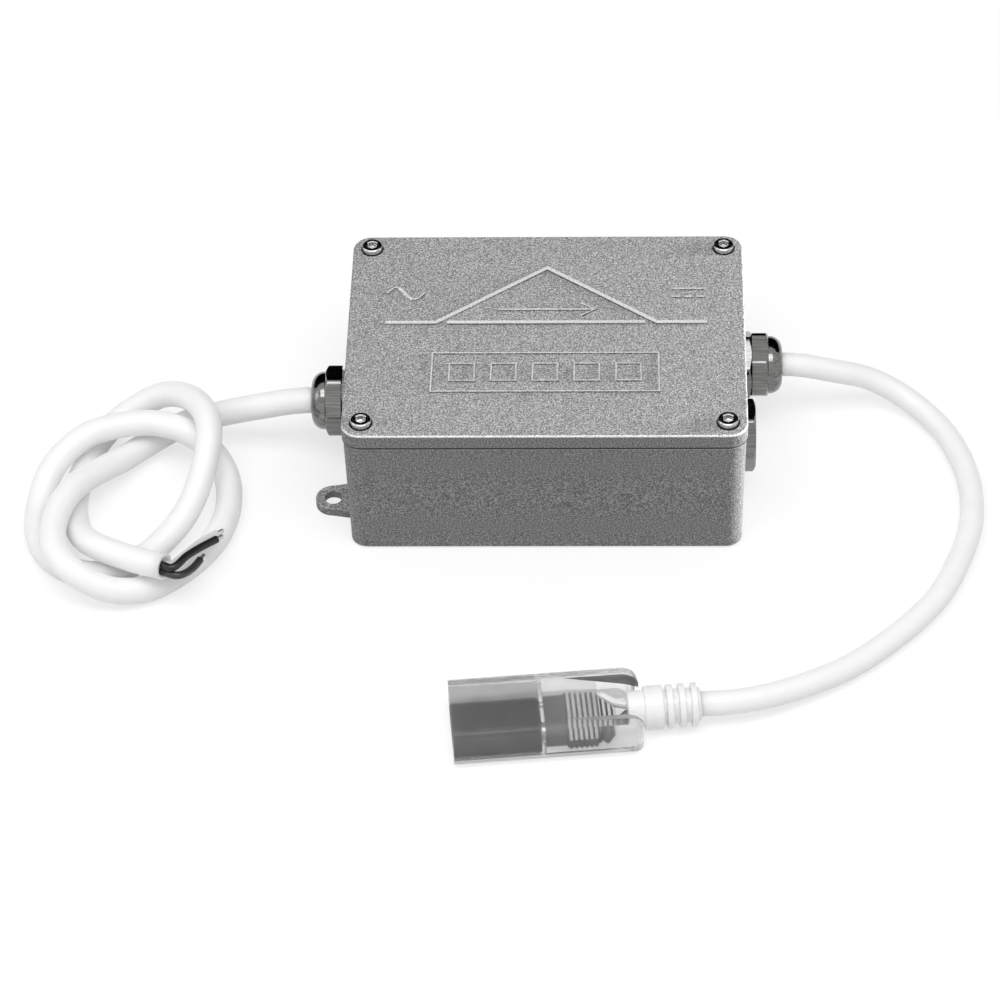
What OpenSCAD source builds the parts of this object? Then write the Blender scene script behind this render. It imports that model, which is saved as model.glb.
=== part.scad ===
// Rectifier driver for mains LED strip: a sealed die-cast box with a mains cord, an output cord with a
// clear strip plug, and the rectifier board inside. Millimetres, +Z up, +X towards the output side,
// origin at the middle of the box's underside.

/* [Box] */
// Width of the box over the lid
box_w = 106; // [100:1:125]
// Depth of the box over the lid
box_d = 80; // [76:1:100]
// Height of the base without the lid
base_h = 37; // [35:0.5:50]
// Thickness of the lid
lid_t = 4.5; // [4:0.1:6]
// Thickness of the side walls at the rim
wall = 2.5; // [2.2:0.1:3.2]
// Thickness of the floor
floor_t = 2.5; // [2.2:0.1:4]
// Radius of the upright corners
corner_r = 5; // [4.5:0.1:7]
// Slope of the cast side walls in degrees
draft = 1; // [0.2:0.1:1.6]
// How far the lid stands out past the rim of the base
lid_overhang = 0.3; // [0.1:0.1:0.6]
// Rounding of the lid's upper edge
lid_edge_r = 0.5; // [0.4:0.1:1.4]
// Chamfer round the underside of the base
foot_chamfer = 0.6; // [0.2:0.1:1.2]

/* [Lid screws and seal] */
// Distance of the screws from the lid's edges
screw_inset = 5.2; // [5:0.1:6]
// Thread diameter of the lid screws
screw_d = 3; // [2.5:0.1:3.4]
// Head diameter of the lid screws
screw_head_d = 5.5; // [5:0.1:6]
// Head height of the lid screws
screw_head_h = 3; // [2.6:0.1:3.4]
// Length of the lid screws under the head
screw_l = 14; // [10:0.5:20]
// How far the screw heads stand proud of the lid
head_proud = 1.5; // [1:0.1:2]
// Width of the hexagon socket across its flats
socket_af = 2.5; // [2:0.1:3]
// Depth of the hexagon socket
socket_depth = 1.4; // [1:0.1:1.8]
// Radius of the cast screw posts
post_r = 4.6; // [4.3:0.1:5]
// Width of the rubber lid seal
seal_w = 1.4; // [1:0.1:1.6]
// Height of the rubber lid seal in its groove
seal_h = 1.2; // [0.8:0.1:1.6]
// Distance of the seal from the edge of the base
seal_edge = 0.55; // [0.4:0.05:0.7]
// Radius at which the seal passes round a screw
seal_bite = 2.6; // [2.4:0.1:2.9]

/* [Lid figure] */
// Width of the raised line
line_w = 1.2; // [0.8:0.1:2]
// Height of the raised line
line_h = 0.5; // [0.3:0.1:0.8]
// Where the line starts and ends, from the middle
line_end_x = 43; // [38:0.5:46]
// Where the line leaves its level for the peak
line_foot_x = 29.5; // [24:0.5:34]
// Level of the line, from the middle of the lid
line_y = 4.2; // [0:0.2:8]
// Level of the peak
peak_y = 26.3; // [20:0.1:30]
// Half length of the line under the peak
under_line_x = 26.5; // [20:0.5:27]

/* [Fixing ears] */
// Distance of the ear on the mains side from the middle of its wall
ear_y = 22; // [18:0.5:26]
// Distance of the ear on the output side from the middle of its wall, clear of the gland above it
far_ear_y = 31; // [29:0.5:32]
// Distance of the ear holes from the middle of the box
ear_x = 57.6; // [57:0.1:60]
// Diameter of the ear holes
ear_hole_d = 4.8; // [4.2:0.1:5.4]
// Radius of the ears round their holes
ear_r = 4.7; // [4:0.1:5.5]
// Thickness of the ears
ear_t = 2.2; // [1.8:0.1:2.2]
// How much wider the ears are where they join the wall
ear_flare = 1.5; // [0.5:0.1:3]

/* [Cable entries] */
// Height of the cable entries over the underside
gland_z = 17.5; // [15:0.5:20]
// Place of the mains gland along its wall
ac_gland_y = 0; // [-4:0.5:4]
// Place of the output gland along its wall
dc_gland_y = 14; // [12:0.5:16]
// Place of the blanked spare entry along its wall
spare_y = -14; // [-16:0.5:-12]
// Thread diameter of the glands
thread_d = 15; // [14:0.1:15.4]
// Radius of the flat milled on the wall for a gland
seat_r = 10; // [9.6:0.1:10.4]
// Thickness of the seal ring under a gland
o_ring_t = 0.8; // [0.6:0.1:1.2]
// Width of a seal ring
o_ring_w = 1.7; // [1.2:0.1:2]
// Width of the gland hexagons across their flats
gland_af = 17; // [16.5:0.1:18]
// Thickness of the gland body's hexagon
body_hex_t = 2.4; // [1.8:0.1:3.5]
// Thickness of the dome nut's hexagon
nut_hex_t = 4.4; // [3.6:0.1:6]
// Radius of the dome nut's round shoulder
shoulder_r = 7.85; // [7.7:0.05:8.2]
// Length of the dome nut's round shoulder
shoulder_t = 2.2; // [1.6:0.1:3]
// Length of the dome over the shoulder
dome_t = 1.7; // [1.2:0.1:2.4]
// Radius of the threaded stub inside the dome nut
stub_r = 7; // [6.8:0.05:7.05]
// Radius of the pocket for the claw and the rubber seal
pocket_r = 5.9; // [5.7:0.05:6.2]
// Radius of the cable way through the gland body
way_r = 4.3; // [4:0.1:4.6]
// Wall thickness of the claw
claw_t = 0.8; // [0.6:0.05:1]
// Number of fingers on the claw
claw_fingers = 6; // [4:1:8]
// Width of the locknuts across their flats
locknut_af = 18; // [17.5:0.1:18.4]
// Thickness of the locknuts
locknut_t = 2.8; // [2:0.1:3.2]
// Width of the blanking plug's hexagon across its flats
plug_af = 17.5; // [17:0.1:18]
// Thickness of the blanking plug's hexagon
plug_hex_t = 2.8; // [2:0.1:4]
// Turn of the mains gland's nut in degrees
ac_nut_turn = 47; // [0:1:59]
// Turn of the output gland's nut in degrees
dc_nut_turn = 46; // [0:1:59]
// Turn of the blanking plug in degrees
spare_turn = 25; // [0:1:59]

/* [Cords] */
// Diameter of the mains cord
ac_cord_d = 7.1; // [6.6:0.1:7.2]
// Diameter of the output cord
dc_cord_d = 6.4; // [6:0.1:6.8]
// Diameter of an insulated core
core_d = 2.1; // [1.8:0.1:2.2]

/* [Output plug] */
// Length of the clear shell
shell_l = 48.5; // [46:0.5:54]
// Width of the clear shell
shell_w = 22; // [21.5:0.5:24]
// Height of the clear shell
shell_h = 11.5; // [11.5:0.1:12.5]
// Rounding of the shell's long edges
shell_r = 3; // [1.5:0.1:3.4]
// Width of the socket and of the space behind it
socket_w = 17.5; // [17:0.1:18]
// Height of the socket and of the space behind it
socket_h = 7.5; // [7:0.1:7.8]
// Depth of the socket
socket_l = 22.5; // [18:0.5:24]
// Thickness of the wall at the bottom of the socket
partition_t = 1; // [0.8:0.1:1.4]
// Length of the sloping scoop in the shell's upper side
scoop_l = 19.5; // [16:0.5:21]
// Width of the scoop
scoop_w = 14; // [12:0.5:15]
// Depth of the scoop at the back of the shell
scoop_depth = 4.6; // [3.5:0.1:5]
// Length of the contact block
block_l = 5.5; // [4:0.5:7]
// Width of the contact block
block_w = 13.5; // [11:0.5:15]
// Height of the contact block
block_h = 3; // [2.8:0.1:4]
// Length of the ribbed wedge behind the block
wedge_l = 13; // [11:0.5:14]
// Length of the wedge before it narrows
wedge_straight = 7.5; // [5:0.5:8]
// Width of the wedge where it meets the block
wedge_w = 15.8; // [14.5:0.1:16.2]
// Width of the wedge at its thin end
wedge_tip_w = 3; // [2:0.1:4]
// Height of the wedge between its ribs
wedge_h = 2; // [1.6:0.1:2.6]
// Number of ribs on the wedge
wedge_ribs = 10; // [6:1:11]
// Diameter of the contact sleeves
contact_d = 1.6; // [1.4:0.1:2]
// Bore of the contact sleeves
contact_bore = 0.9; // [0.7:0.1:1]
// Distance between the contact sleeves
contact_pitch = 7; // [6:0.5:8]
// Radius of the boot behind the shell
boot_r = 5.7; // [5.4:0.05:5.75]
// Length of the boot with its neck
boot_l = 9.3; // [9:0.1:10]
// Radius of the boot's neck
neck_r = 4.6; // [4.4:0.05:4.8]
// Length of the boot's neck
neck_l = 4.3; // [4.2:0.1:5]
// How far the boot reaches into the shell
boot_in = 3.7; // [2.5:0.1:4]
// Radius of the strain relief between its ribs
relief_r = 4.4; // [4:0.1:4.6]
// Radius of the strain relief's ribs
relief_rib_r = 5.7; // [5.2:0.1:5.7]
// Length of the strain relief
relief_l = 9.4; // [9:0.1:11]
// Number of ribs on the strain relief
relief_ribs = 3; // [2:1:4]
// Diameter of the two leads in the plug
lead_d = 2.3; // [1.8:0.1:2.4]
// Distance between the two leads where they leave the boot
lead_pitch = 3.4; // [3:0.1:4]

/* [Board] */
// Length of the circuit board
board_w = 55.5; // [54:0.5:58]
// Width of the circuit board
board_d = 60; // [58:1:64]
// Thickness of the circuit board
board_t = 1.6; // [1.2:0.2:2]
// Place of the board's mains end, from the middle of the box
board_x0 = -42; // [-43:0.5:-41]
// Height of the board's posts over the floor
board_lift = 4; // [3:0.5:6]
// Radius of the board's posts
board_post_r = 3; // [2.6:0.1:3.4]
// Distance of the board's screws from its edges
board_screw_inset = 4; // [3.5:0.5:5]
// Thread diameter of the board's screws
board_screw_d = 2.5; // [2:0.1:3]
// Thickness of the cast rib that cools the rectifier
rib_t = 4; // [3:0.5:6]
// Width of the cast rib
rib_w = 22; // [20:0.5:22.5]
// Height of the cast rib over the floor
rib_h = 27; // [24:0.5:28]
// Thickness of the heat pad
heat_pad_t = 0.5; // [0.3:0.1:1]
// Width of the rectifier
rectifier_w = 22; // [20:0.5:22.5]
// Height of the rectifier
rectifier_h = 18; // [16:0.5:20]
// Thickness of the rectifier
rectifier_t = 3.6; // [3:0.1:5]
// Height of the rectifier over the board
rectifier_lift = 2; // [1:0.5:4]
// Distance between the rectifier's pins
rectifier_pitch = 5; // [4.5:0.1:5.5]
// Height of the terminal blocks
terminal_h = 13; // [12:0.5:15]
// Diameter of the fuse
fuse_d = 5.2; // [5:0.1:6]
// Length of the fuse
fuse_l = 20; // [18:0.5:22]
// Width of the interference capacitor
box_cap_w = 8; // [6:0.5:9]
// Length of the interference capacitor
box_cap_l = 18; // [14:0.5:19]
// Height of the interference capacitor
box_cap_h = 14; // [10:0.5:18]
// Diameter of the varistor
varistor_d = 12; // [9:0.5:14]
// Thickness of the varistor
varistor_t = 4; // [3:0.5:5]
// Radius of the choke's ring
choke_ring_r = 5.8; // [5:0.1:6]
// Radius of the choke's winding
choke_wire_r = 2.6; // [2.2:0.1:2.8]
// Diameter of the smoothing capacitor
can_d = 16; // [12:0.5:18]
// Height of the smoothing capacitor
can_h = 24; // [18:0.5:25]

/* [Hidden] */
$fn = 64;

// Radial play between a thread and its hole, and between a core and its hole
thread_gap = 0.1;
slip_gap = 0.1;
// Play of a rubber seal in its groove and on its cord
rubber_gap = 0.05;
// How far a cutting tool runs past the face that it cuts
past = 1;

base_w = box_w - 2 * lid_overhang;
base_d = box_d - 2 * lid_overhang;
screw_x = box_w / 2 - screw_inset;
screw_y = box_d / 2 - screw_inset;
screw_hole_r = screw_d / 2 + 0.2;
counterbore_r = screw_head_d / 2 + 0.35;
counterbore_depth = screw_head_h - head_proud;
tap_depth = screw_l - lid_t + counterbore_depth + past;

// Half width of the drafted base at a height
function wall_x(z) = base_w / 2 - (base_h - z) * tan(draft);

// The glands sit on milled flats: outside at seat_x, inside at inner_seat_x
seat_x = wall_x(gland_z - seat_r);
inner_seat_x = wall_x(gland_z + seat_r) - wall;
web = seat_x - inner_seat_x;
inner_seat_r = locknut_af / 2 / cos(30) + 0.6;
thread_in = web + locknut_t + 1.5;
ac_entry = [-1, ac_gland_y];
dc_entry = [1, dc_gland_y];
spare_entry = [1, spare_y];

// Levels along a gland, outwards from its seat
hex_z = o_ring_t;
nut_z = hex_z + body_hex_t;
hex_mid_z = hex_z + body_hex_t / 2;
shoulder_z = nut_z + nut_hex_t;
dome_z = shoulder_z + shoulder_t;
stub_l = nut_hex_t + shoulder_t - 1;
pocket_z = nut_z + 0.7;
stub_end_z = nut_z + stub_l;
claw_inner_r = pocket_r - slip_gap - claw_t;

// Routes of the free cords, from inside the box to their far ends
ac_route = [
    [-44, ac_gland_y, gland_z], [-56, ac_gland_y, gland_z], [-67, ac_gland_y, gland_z],
    [-78, 1, 14.5], [-89, 3, 10], [-99, 3, 6.5], [-108, -2, 4.5], [-115, -10, 5.5], [-121, -19, 9],
    [-126.5, -28.5, 12], [-130, -39, 12], [-129.5, -50, 11.5], [-124, -58, 10.5], [-114.5, -60.5, 6],
    [-104, -57.5, 3.6], [-94.5, -49.5, 3.6], [-88, -39, 3.6], [-85.5, -27, 3.6], [-87, -16, 6],
    [-94, -8, 10.5], [-104, -4, 12.5], [-115, -4, 12.5], [-125.5, -8.5, 12], [-133.5, -17, 8.5],
    [-136.5, -28.5, 4], [-135, -40, 3.6], [-129, -49, 3.6], [-119.5, -52.5, 3.6], [-110, -49, 3.6],
    [-102, -41, 4.5], [-95.5, -32, 8], [-91.5, -21, 14], [-91, -10, 18.5], [-96, 1, 17], [-105, 8.5, 12],
    [-115, 8, 6], [-122, 0.5, 3.6], [-125.5, -11, 3.6], [-127, -23, 3.6], [-125.5, -35, 4.8],
    [-120.5, -47.3, 10.4], [-110.5, -53.5, 11.2], [-99.5, -58.8, 12.6]
];
dc_route = [
    [44, dc_gland_y, gland_z], [56, dc_gland_y, gland_z], [67, dc_gland_y, gland_z], [77, 15, 14.5],
    [88, 17, 9.5], [98, 14, 5], [106, 5.5, 3.2], [111, -6, 3.2], [113.5, -19, 3.2], [113, -33, 3.2],
    [109, -47, 3.2], [102.5, -61, 3.2], [92, -74, 3.2], [78, -86.5, 3.4], [62, -96, 4.8],
    [50, -100.4, shell_h / 2], [40, -101.4, shell_h / 2]
];
cord_sides = 12;
core_sides = 8;

// The three cores leave the cut end of the mains cord in a triangle
cut_end = ac_route[len(ac_route) - 1];
cut_dir = unit(cut_end - ac_route[len(ac_route) - 2]);
cut_side = unit(cross([0, 0, 1], cut_dir));
cut_up = cross(cut_dir, cut_side);
core_ring = core_d * 0.62;
function core_start(turn) = cut_end + core_ring * (cos(turn) * cut_side + sin(turn) * cut_up);
function core_bend(turn, straight) = core_start(turn) + straight * cut_dir;
live_route = [core_start(232), core_bend(232, 4.2), [-92.8, -57.4, 10.2], [-89.9, -51.3, 9.4]];
neutral_route = [
    core_start(112), core_bend(112, 3.2), [-93.8, -56, 13.8], [-90.8, -51.9, 12.7], [-85.3, -46.1, 11.3]
];
earth_route = [
    core_start(352), core_bend(352, 1.3), [-96.2, -55.6, 11.9], [-91.2, -48, 10.7], [-85.5, -42.4, 9.8]
];

// The plug lies in line with the end of its cord, which meets the strain relief's face
plug_end = dc_route[len(dc_route) - 1];
plug_dir = plug_end - dc_route[len(dc_route) - 2];
plug_turn = atan2(plug_dir.y, plug_dir.x);
boot_front = relief_l + boot_l;
shell_back = boot_front - boot_in;
shell_front = shell_back + shell_l;
socket_x = shell_front - socket_l;
block_front = socket_x - partition_t;
wedge_x = block_front - block_l;
wedge_tip_x = wedge_x - wedge_l;
carrier_z = (block_h - socket_h) / 2;

// Levels and places on the board
board_z = floor_t + board_lift;
board_top = board_z + board_t;
board_x1 = board_x0 + board_w;
rib_x = board_x1 + 0.5;
rectifier_x = rib_x - heat_pad_t - rectifier_t;
rectifier_z = board_top + rectifier_lift;
rectifier_hole_z = rectifier_z + rectifier_h * 0.6;
rectifier_screw_d = 3;
ac_terminal_x = board_x0 + 2;
terminal_l = 8;
dc_terminal_x = rectifier_x - terminal_l - 5;
fuse_x = board_x0 + 16;
fuse_y = -17;
fuse_z = board_top + fuse_d / 2 + 2;
box_cap_x = fuse_x + fuse_d / 2 + 5.4;
choke_x = box_cap_x + box_cap_w + choke_ring_r + choke_wire_r + 1.6;
can_x = fuse_x + varistor_t / 2 + can_d / 2 + 2;

// A tube swept along a route: one ring of points at each point of the route
function unit(v) = v / norm(v);
function tangent(p, i) = unit(p[min(i + 1, len(p) - 1)] - p[max(i - 1, 0)]);
function ring(p, i, r, n) =
    let (along = tangent(p, i), side = unit(cross([0, 0, 1], along)), up = cross(along, side))
    [for (k = [0:n - 1]) p[i] + r * (cos(360 * k / n) * side + sin(360 * k / n) * up)];

module tube(route, d, sides) {
    last = len(route) - 1;
    points = [for (i = [0:last]) each ring(route, i, d / 2, sides)];
    walls = [
        for (i = [0:last - 1], k = [0:sides - 1])
            let (a = i * sides + k, b = i * sides + (k + 1) % sides)
            each [[a, a + sides, b + sides], [a, b + sides, b]]
    ];
    caps = [[for (k = [0:sides - 1]) k], [for (k = [0:sides - 1]) last * sides + sides - 1 - k]];
    polyhedron(points = points, faces = concat(walls, caps));
}

// Places its children at the four corners, mirrored so that +X and +Y point out of the box
module at_corners(x, y) {
    for (sx = [0, 1], sy = [0, 1])
        mirror([sx, 0, 0]) mirror([0, sy, 0]) translate([x, y, 0]) children();
}

// Places its children on a gland seat, with +Z pointing out of the box
module at_entry(entry) {
    translate([entry[0] * seat_x, entry[1], gland_z]) rotate([0, entry[0] * 90, 0]) children();
}

// Places its children in line with the output cord's end, with +X towards the plug's open end
module at_plug() {
    translate(plug_end) rotate([0, 0, plug_turn]) children();
}

// A block with drafted sides, round corners and, where asked, a chamfered foot
module drafted_block(w, d, h, r, chamfer) {
    foot_r = r - (h - chamfer) * tan(draft);
    hull() at_corners(w / 2 - r, d / 2 - r) {
        translate([0, 0, chamfer]) cylinder(h = h - chamfer, r1 = foot_r, r2 = r, $fn = 32);
        cylinder(h = max(chamfer, 0.01), r1 = foot_r - chamfer, r2 = foot_r, $fn = 32);
    }
}

// The land round a screw: a disc joined to both walls
module screw_land(r) {
    circle(r);
    translate([-r, 0]) square([r + screw_inset, screw_inset]);
    translate([0, -r]) square([screw_inset, r + screw_inset]);
}

// Outline that follows the rim and passes inside the screws
module seal_outline(edge, bite) {
    difference() {
        square([base_w - 2 * edge, base_d - 2 * edge], center = true);
        at_corners(screw_x, screw_y) screw_land(bite);
    }
}

module seal_ring(play) {
    difference() {
        seal_outline(seal_edge - play, seal_bite - play);
        seal_outline(seal_edge + seal_w + play, seal_bite + seal_w + play);
    }
}

// A hexagon with its outer corners turned down
module hexagon(af, t) {
    intersection() {
        cylinder(h = t, r = af / 2 / cos(30), $fn = 6);
        cylinder(h = t, r1 = af / 2 * 0.98 + t * tan(60), r2 = af / 2 * 0.98);
    }
}

module rounded_rect(w, h, r) {
    square([w - 2 * r, h], center = true);
    square([w, h - 2 * r], center = true);
    for (x = [-1, 1], y = [-1, 1])
        translate([x * (w / 2 - r), y * (h / 2 - r)]) circle(r);
}

// An extrusion along +X of an outline drawn in Y and Z
module along_x(l) {
    rotate([90, 0, 90]) linear_extrude(l) children();
}

module ear(y) {
    translate([ear_x, y, 0]) difference() {
        linear_extrude(ear_t) {
            root = wall_x(0) - wall - ear_x;
            circle(ear_r);
            polygon([
                [root, -ear_r - ear_flare], [0, -ear_r], [0, ear_r], [root, ear_r + ear_flare]
            ]);
        }
        translate([0, 0, -past]) cylinder(d = ear_hole_d, h = ear_t + 2 * past);
    }
}

module entry_cut() {
    cylinder(r = seat_r, h = wall + past);
    translate([0, 0, -web - past]) cylinder(d = thread_d + 2 * thread_gap, h = web + 2 * past);
    translate([0, 0, -web - wall]) cylinder(r = inner_seat_r, h = wall);
}

module board_posts() {
    for (x = [board_x0 + board_screw_inset, board_x1 - board_screw_inset], y = [-1, 1])
        translate([x, y * (board_d / 2 - board_screw_inset), 0]) children();
}

module base_box() {
    color("darkgray") difference() {
        union() {
            difference() {
                drafted_block(base_w, base_d, base_h, corner_r, foot_chamfer);
                difference() {
                    translate([0, 0, floor_t])
                        drafted_block(base_w - 2 * wall, base_d - 2 * wall, base_h - floor_t + 0.01,
                            corner_r - wall, 0);
                    at_corners(screw_x, screw_y) linear_extrude(base_h + past) screw_land(post_r);
                }
            }
            ear(far_ear_y);
            rotate(180) ear(ear_y);
            board_posts() translate([0, 0, floor_t - 1]) cylinder(r = board_post_r, h = board_lift + 1);
            translate([rib_x, -rib_w / 2, floor_t - 1]) cube([rib_t, rib_w, rib_h + 1]);
        }
        at_corners(screw_x, screw_y) translate([0, 0, base_h - tap_depth])
            cylinder(d = screw_d + 2 * thread_gap, h = tap_depth + past);
        board_posts() translate([0, 0, floor_t])
            cylinder(d = board_screw_d + 2 * thread_gap, h = board_lift + past);
        translate([rib_x - past, 0, rectifier_hole_z]) rotate([0, 90, 0])
            cylinder(d = rectifier_screw_d + 2 * thread_gap, h = rib_t + 2 * past);
        at_entry(ac_entry) entry_cut();
        at_entry(dc_entry) entry_cut();
        at_entry(spare_entry) entry_cut();
    }
}

// A band of even height about a line of points
module line_band(points, half) {
    polygon(concat(
        [for (p = points) p + [0, half]],
        [for (i = [len(points) - 1:-1:0]) points[i] - [0, half]]
    ));
}

module lid_figure() {
    slope = atan2(peak_y - line_y, line_foot_x);
    left = [-line_foot_x, line_y];
    right = [line_foot_x, line_y];
    line_band([[-line_end_x, line_y], left], line_w / 2);
    line_band([right, [line_end_x, line_y]], line_w / 2);
    line_band([left, [0, peak_y], right], line_w / 2 / cos(slope));
    line_band([[-under_line_x, line_y], [under_line_x, line_y]], line_w / 2);
}

module lid() {
    color("silver") difference() {
        union() {
            translate([0, 0, base_h]) hull() at_corners(box_w / 2 - corner_r, box_d / 2 - corner_r)
                rotate_extrude($fn = 32) {
                    square([corner_r, lid_t - lid_edge_r]);
                    square([corner_r - lid_edge_r, lid_t]);
                    translate([corner_r - lid_edge_r, lid_t - lid_edge_r]) intersection() {
                        circle(lid_edge_r, $fn = 24);
                        square(lid_edge_r);
                    }
                }
            translate([0, 0, base_h + lid_t]) linear_extrude(line_h) lid_figure();
        }
        translate([0, 0, base_h - past]) linear_extrude(seal_h + past) seal_ring(rubber_gap);
        at_corners(screw_x, screw_y) {
            translate([0, 0, base_h - past]) cylinder(r = screw_hole_r, h = lid_t + 2 * past);
            translate([0, 0, base_h + lid_t - counterbore_depth])
                cylinder(r = counterbore_r, h = counterbore_depth + past);
        }
    }
}

module lid_gasket() {
    color("dimgray") translate([0, 0, base_h]) linear_extrude(seal_h) seal_ring(0);
}

// A socket cap screw with its head's underside at the origin, pointing down
module cap_screw() {
    edge = 0.4;
    difference() {
        rotate_extrude() polygon([
            [0, -screw_l], [screw_d / 2 - edge, -screw_l], [screw_d / 2, -screw_l + edge], [screw_d / 2, 0],
            [screw_head_d / 2, 0], [screw_head_d / 2, screw_head_h - edge],
            [screw_head_d / 2 - edge, screw_head_h], [0, screw_head_h]
        ]);
        translate([0, 0, screw_head_h - socket_depth])
            cylinder(r = socket_af / 2 / cos(30), h = socket_depth + past, $fn = 6);
    }
}

module lid_screws() {
    color("gainsboro") at_corners(screw_x, screw_y)
        translate([0, 0, base_h + lid_t - counterbore_depth]) cap_screw();
}

module gland_body(turn) {
    color("gainsboro") difference() {
        union() {
            translate([0, 0, -thread_in]) cylinder(d = thread_d, h = thread_in + hex_mid_z);
            translate([0, 0, hex_z]) rotate(turn) hexagon(gland_af, body_hex_t);
            translate([0, 0, hex_mid_z]) cylinder(r = stub_r, h = stub_end_z - hex_mid_z);
        }
        translate([0, 0, -thread_in - past]) cylinder(r = way_r, h = thread_in + pocket_z + 2 * past);
        translate([0, 0, pocket_z]) cylinder(r = pocket_r, h = stub_l + past);
    }
}

module gland_o_ring() {
    inner = thread_d / 2 + slip_gap;
    color("black") rotate_extrude() {
        translate([inner + o_ring_t / 2, 0]) square([o_ring_w - o_ring_t, o_ring_t]);
        for (x = [o_ring_t / 2, o_ring_w - o_ring_t / 2])
            translate([inner + x, o_ring_t / 2]) circle(d = o_ring_t);
    }
}

module gland_locknut() {
    color("gainsboro") translate([0, 0, -web]) mirror([0, 0, 1]) difference() {
        hexagon(locknut_af, locknut_t);
        translate([0, 0, -past]) cylinder(d = thread_d + 2 * thread_gap, h = locknut_t + 2 * past);
    }
}

module gland_seal(cord_d) {
    color("dimgray") translate([0, 0, pocket_z]) difference() {
        cylinder(r = claw_inner_r - rubber_gap, h = stub_end_z - pocket_z);
        translate([0, 0, -past]) cylinder(d = cord_d + 2 * rubber_gap, h = stub_l + 2 * past);
    }
}

module gland_claw() {
    claw_l = stub_end_z - pocket_z;
    slot_w = 0.8;
    color("black") translate([0, 0, pocket_z]) difference() {
        cylinder(r = pocket_r - slip_gap, h = claw_l);
        translate([0, 0, -past]) cylinder(r = claw_inner_r, h = claw_l + 2 * past);
        for (k = [0:claw_fingers - 1])
            rotate(360 * k / claw_fingers) translate([0, -slot_w / 2, claw_l / 2])
                cube([pocket_r + past, slot_w, claw_l]);
    }
}

module gland_dome_nut(cord_d, turn) {
    color("gainsboro") difference() {
        union() {
            translate([0, 0, nut_z]) rotate(turn) hexagon(gland_af, nut_hex_t);
            translate([0, 0, shoulder_z]) rotate_extrude() {
                translate([0, -nut_hex_t / 2]) square([shoulder_r, nut_hex_t / 2 + shoulder_t]);
                square([shoulder_r - dome_t, shoulder_t + dome_t]);
                translate([shoulder_r - dome_t, shoulder_t]) intersection() {
                    circle(dome_t);
                    square(dome_t);
                }
            }
        }
        translate([0, 0, nut_z - past]) cylinder(r = stub_r + thread_gap, h = stub_l + past + slip_gap);
        translate([0, 0, nut_z])
            cylinder(d = cord_d + 6 * slip_gap, h = nut_hex_t + shoulder_t + dome_t + past);
    }
}

module ac_gland_body() { at_entry(ac_entry) gland_body(ac_nut_turn + 20); }
module ac_gland_o_ring() { at_entry(ac_entry) gland_o_ring(); }
module ac_gland_locknut() { at_entry(ac_entry) gland_locknut(); }
module ac_gland_seal() { at_entry(ac_entry) gland_seal(ac_cord_d); }
module ac_gland_claw() { at_entry(ac_entry) gland_claw(); }
module ac_gland_dome_nut() { at_entry(ac_entry) gland_dome_nut(ac_cord_d, ac_nut_turn); }
module dc_gland_body() { at_entry(dc_entry) gland_body(dc_nut_turn + 13); }
module dc_gland_o_ring() { at_entry(dc_entry) gland_o_ring(); }
module dc_gland_locknut() { at_entry(dc_entry) gland_locknut(); }
module dc_gland_seal() { at_entry(dc_entry) gland_seal(dc_cord_d); }
module dc_gland_claw() { at_entry(dc_entry) gland_claw(); }
module dc_gland_dome_nut() { at_entry(dc_entry) gland_dome_nut(dc_cord_d, dc_nut_turn); }

module blanking_plug() {
    color("gainsboro") at_entry(spare_entry) {
        translate([0, 0, -thread_in]) cylinder(d = thread_d, h = thread_in + hex_mid_z);
        translate([0, 0, hex_z]) rotate(spare_turn) hexagon(plug_af, plug_hex_t);
    }
}

module blanking_plug_o_ring() { at_entry(spare_entry) gland_o_ring(); }
module blanking_plug_locknut() { at_entry(spare_entry) gland_locknut(); }

module ac_cord() {
    color("white") tube(ac_route, ac_cord_d, cord_sides);
}

module ac_core_live() {
    color("dimgray") tube(live_route, core_d, core_sides);
}

module ac_core_neutral() {
    color("black") tube(neutral_route, core_d, core_sides);
}

module ac_core_earth() {
    color("whitesmoke") tube(earth_route, core_d, core_sides);
}

module dc_cord() {
    color("white") tube(dc_route, dc_cord_d, cord_sides);
}

// The boot and its ribbed strain relief, moulded round the output cord as one piece
module dc_strain_relief() {
    pitch = relief_l / relief_ribs;
    rib = pitch / 2;
    edge = 0.6;
    flange_l = boot_l - neck_l;
    color("white") at_plug() difference() {
        rotate([0, 90, 0]) union() {
            cylinder(r = relief_r, h = relief_l);
            for (k = [0:relief_ribs - 1])
                translate([0, 0, k * pitch + rib / 2]) cylinder(r = relief_rib_r, h = rib);
            translate([0, 0, relief_l]) rotate_extrude() polygon([
                [0, 0], [boot_r, 0], [boot_r, flange_l - edge], [boot_r - edge, flange_l],
                [neck_r, flange_l], [neck_r, boot_l - edge], [neck_r - edge, boot_l], [0, boot_l]
            ]);
        }
        for (y = [-1, 1])
            translate([boot_front - boot_in, y * lead_pitch / 2, 0]) rotate([0, 90, 0])
                cylinder(d = lead_d + 2 * slip_gap, h = boot_in + past);
    }
}

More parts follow.
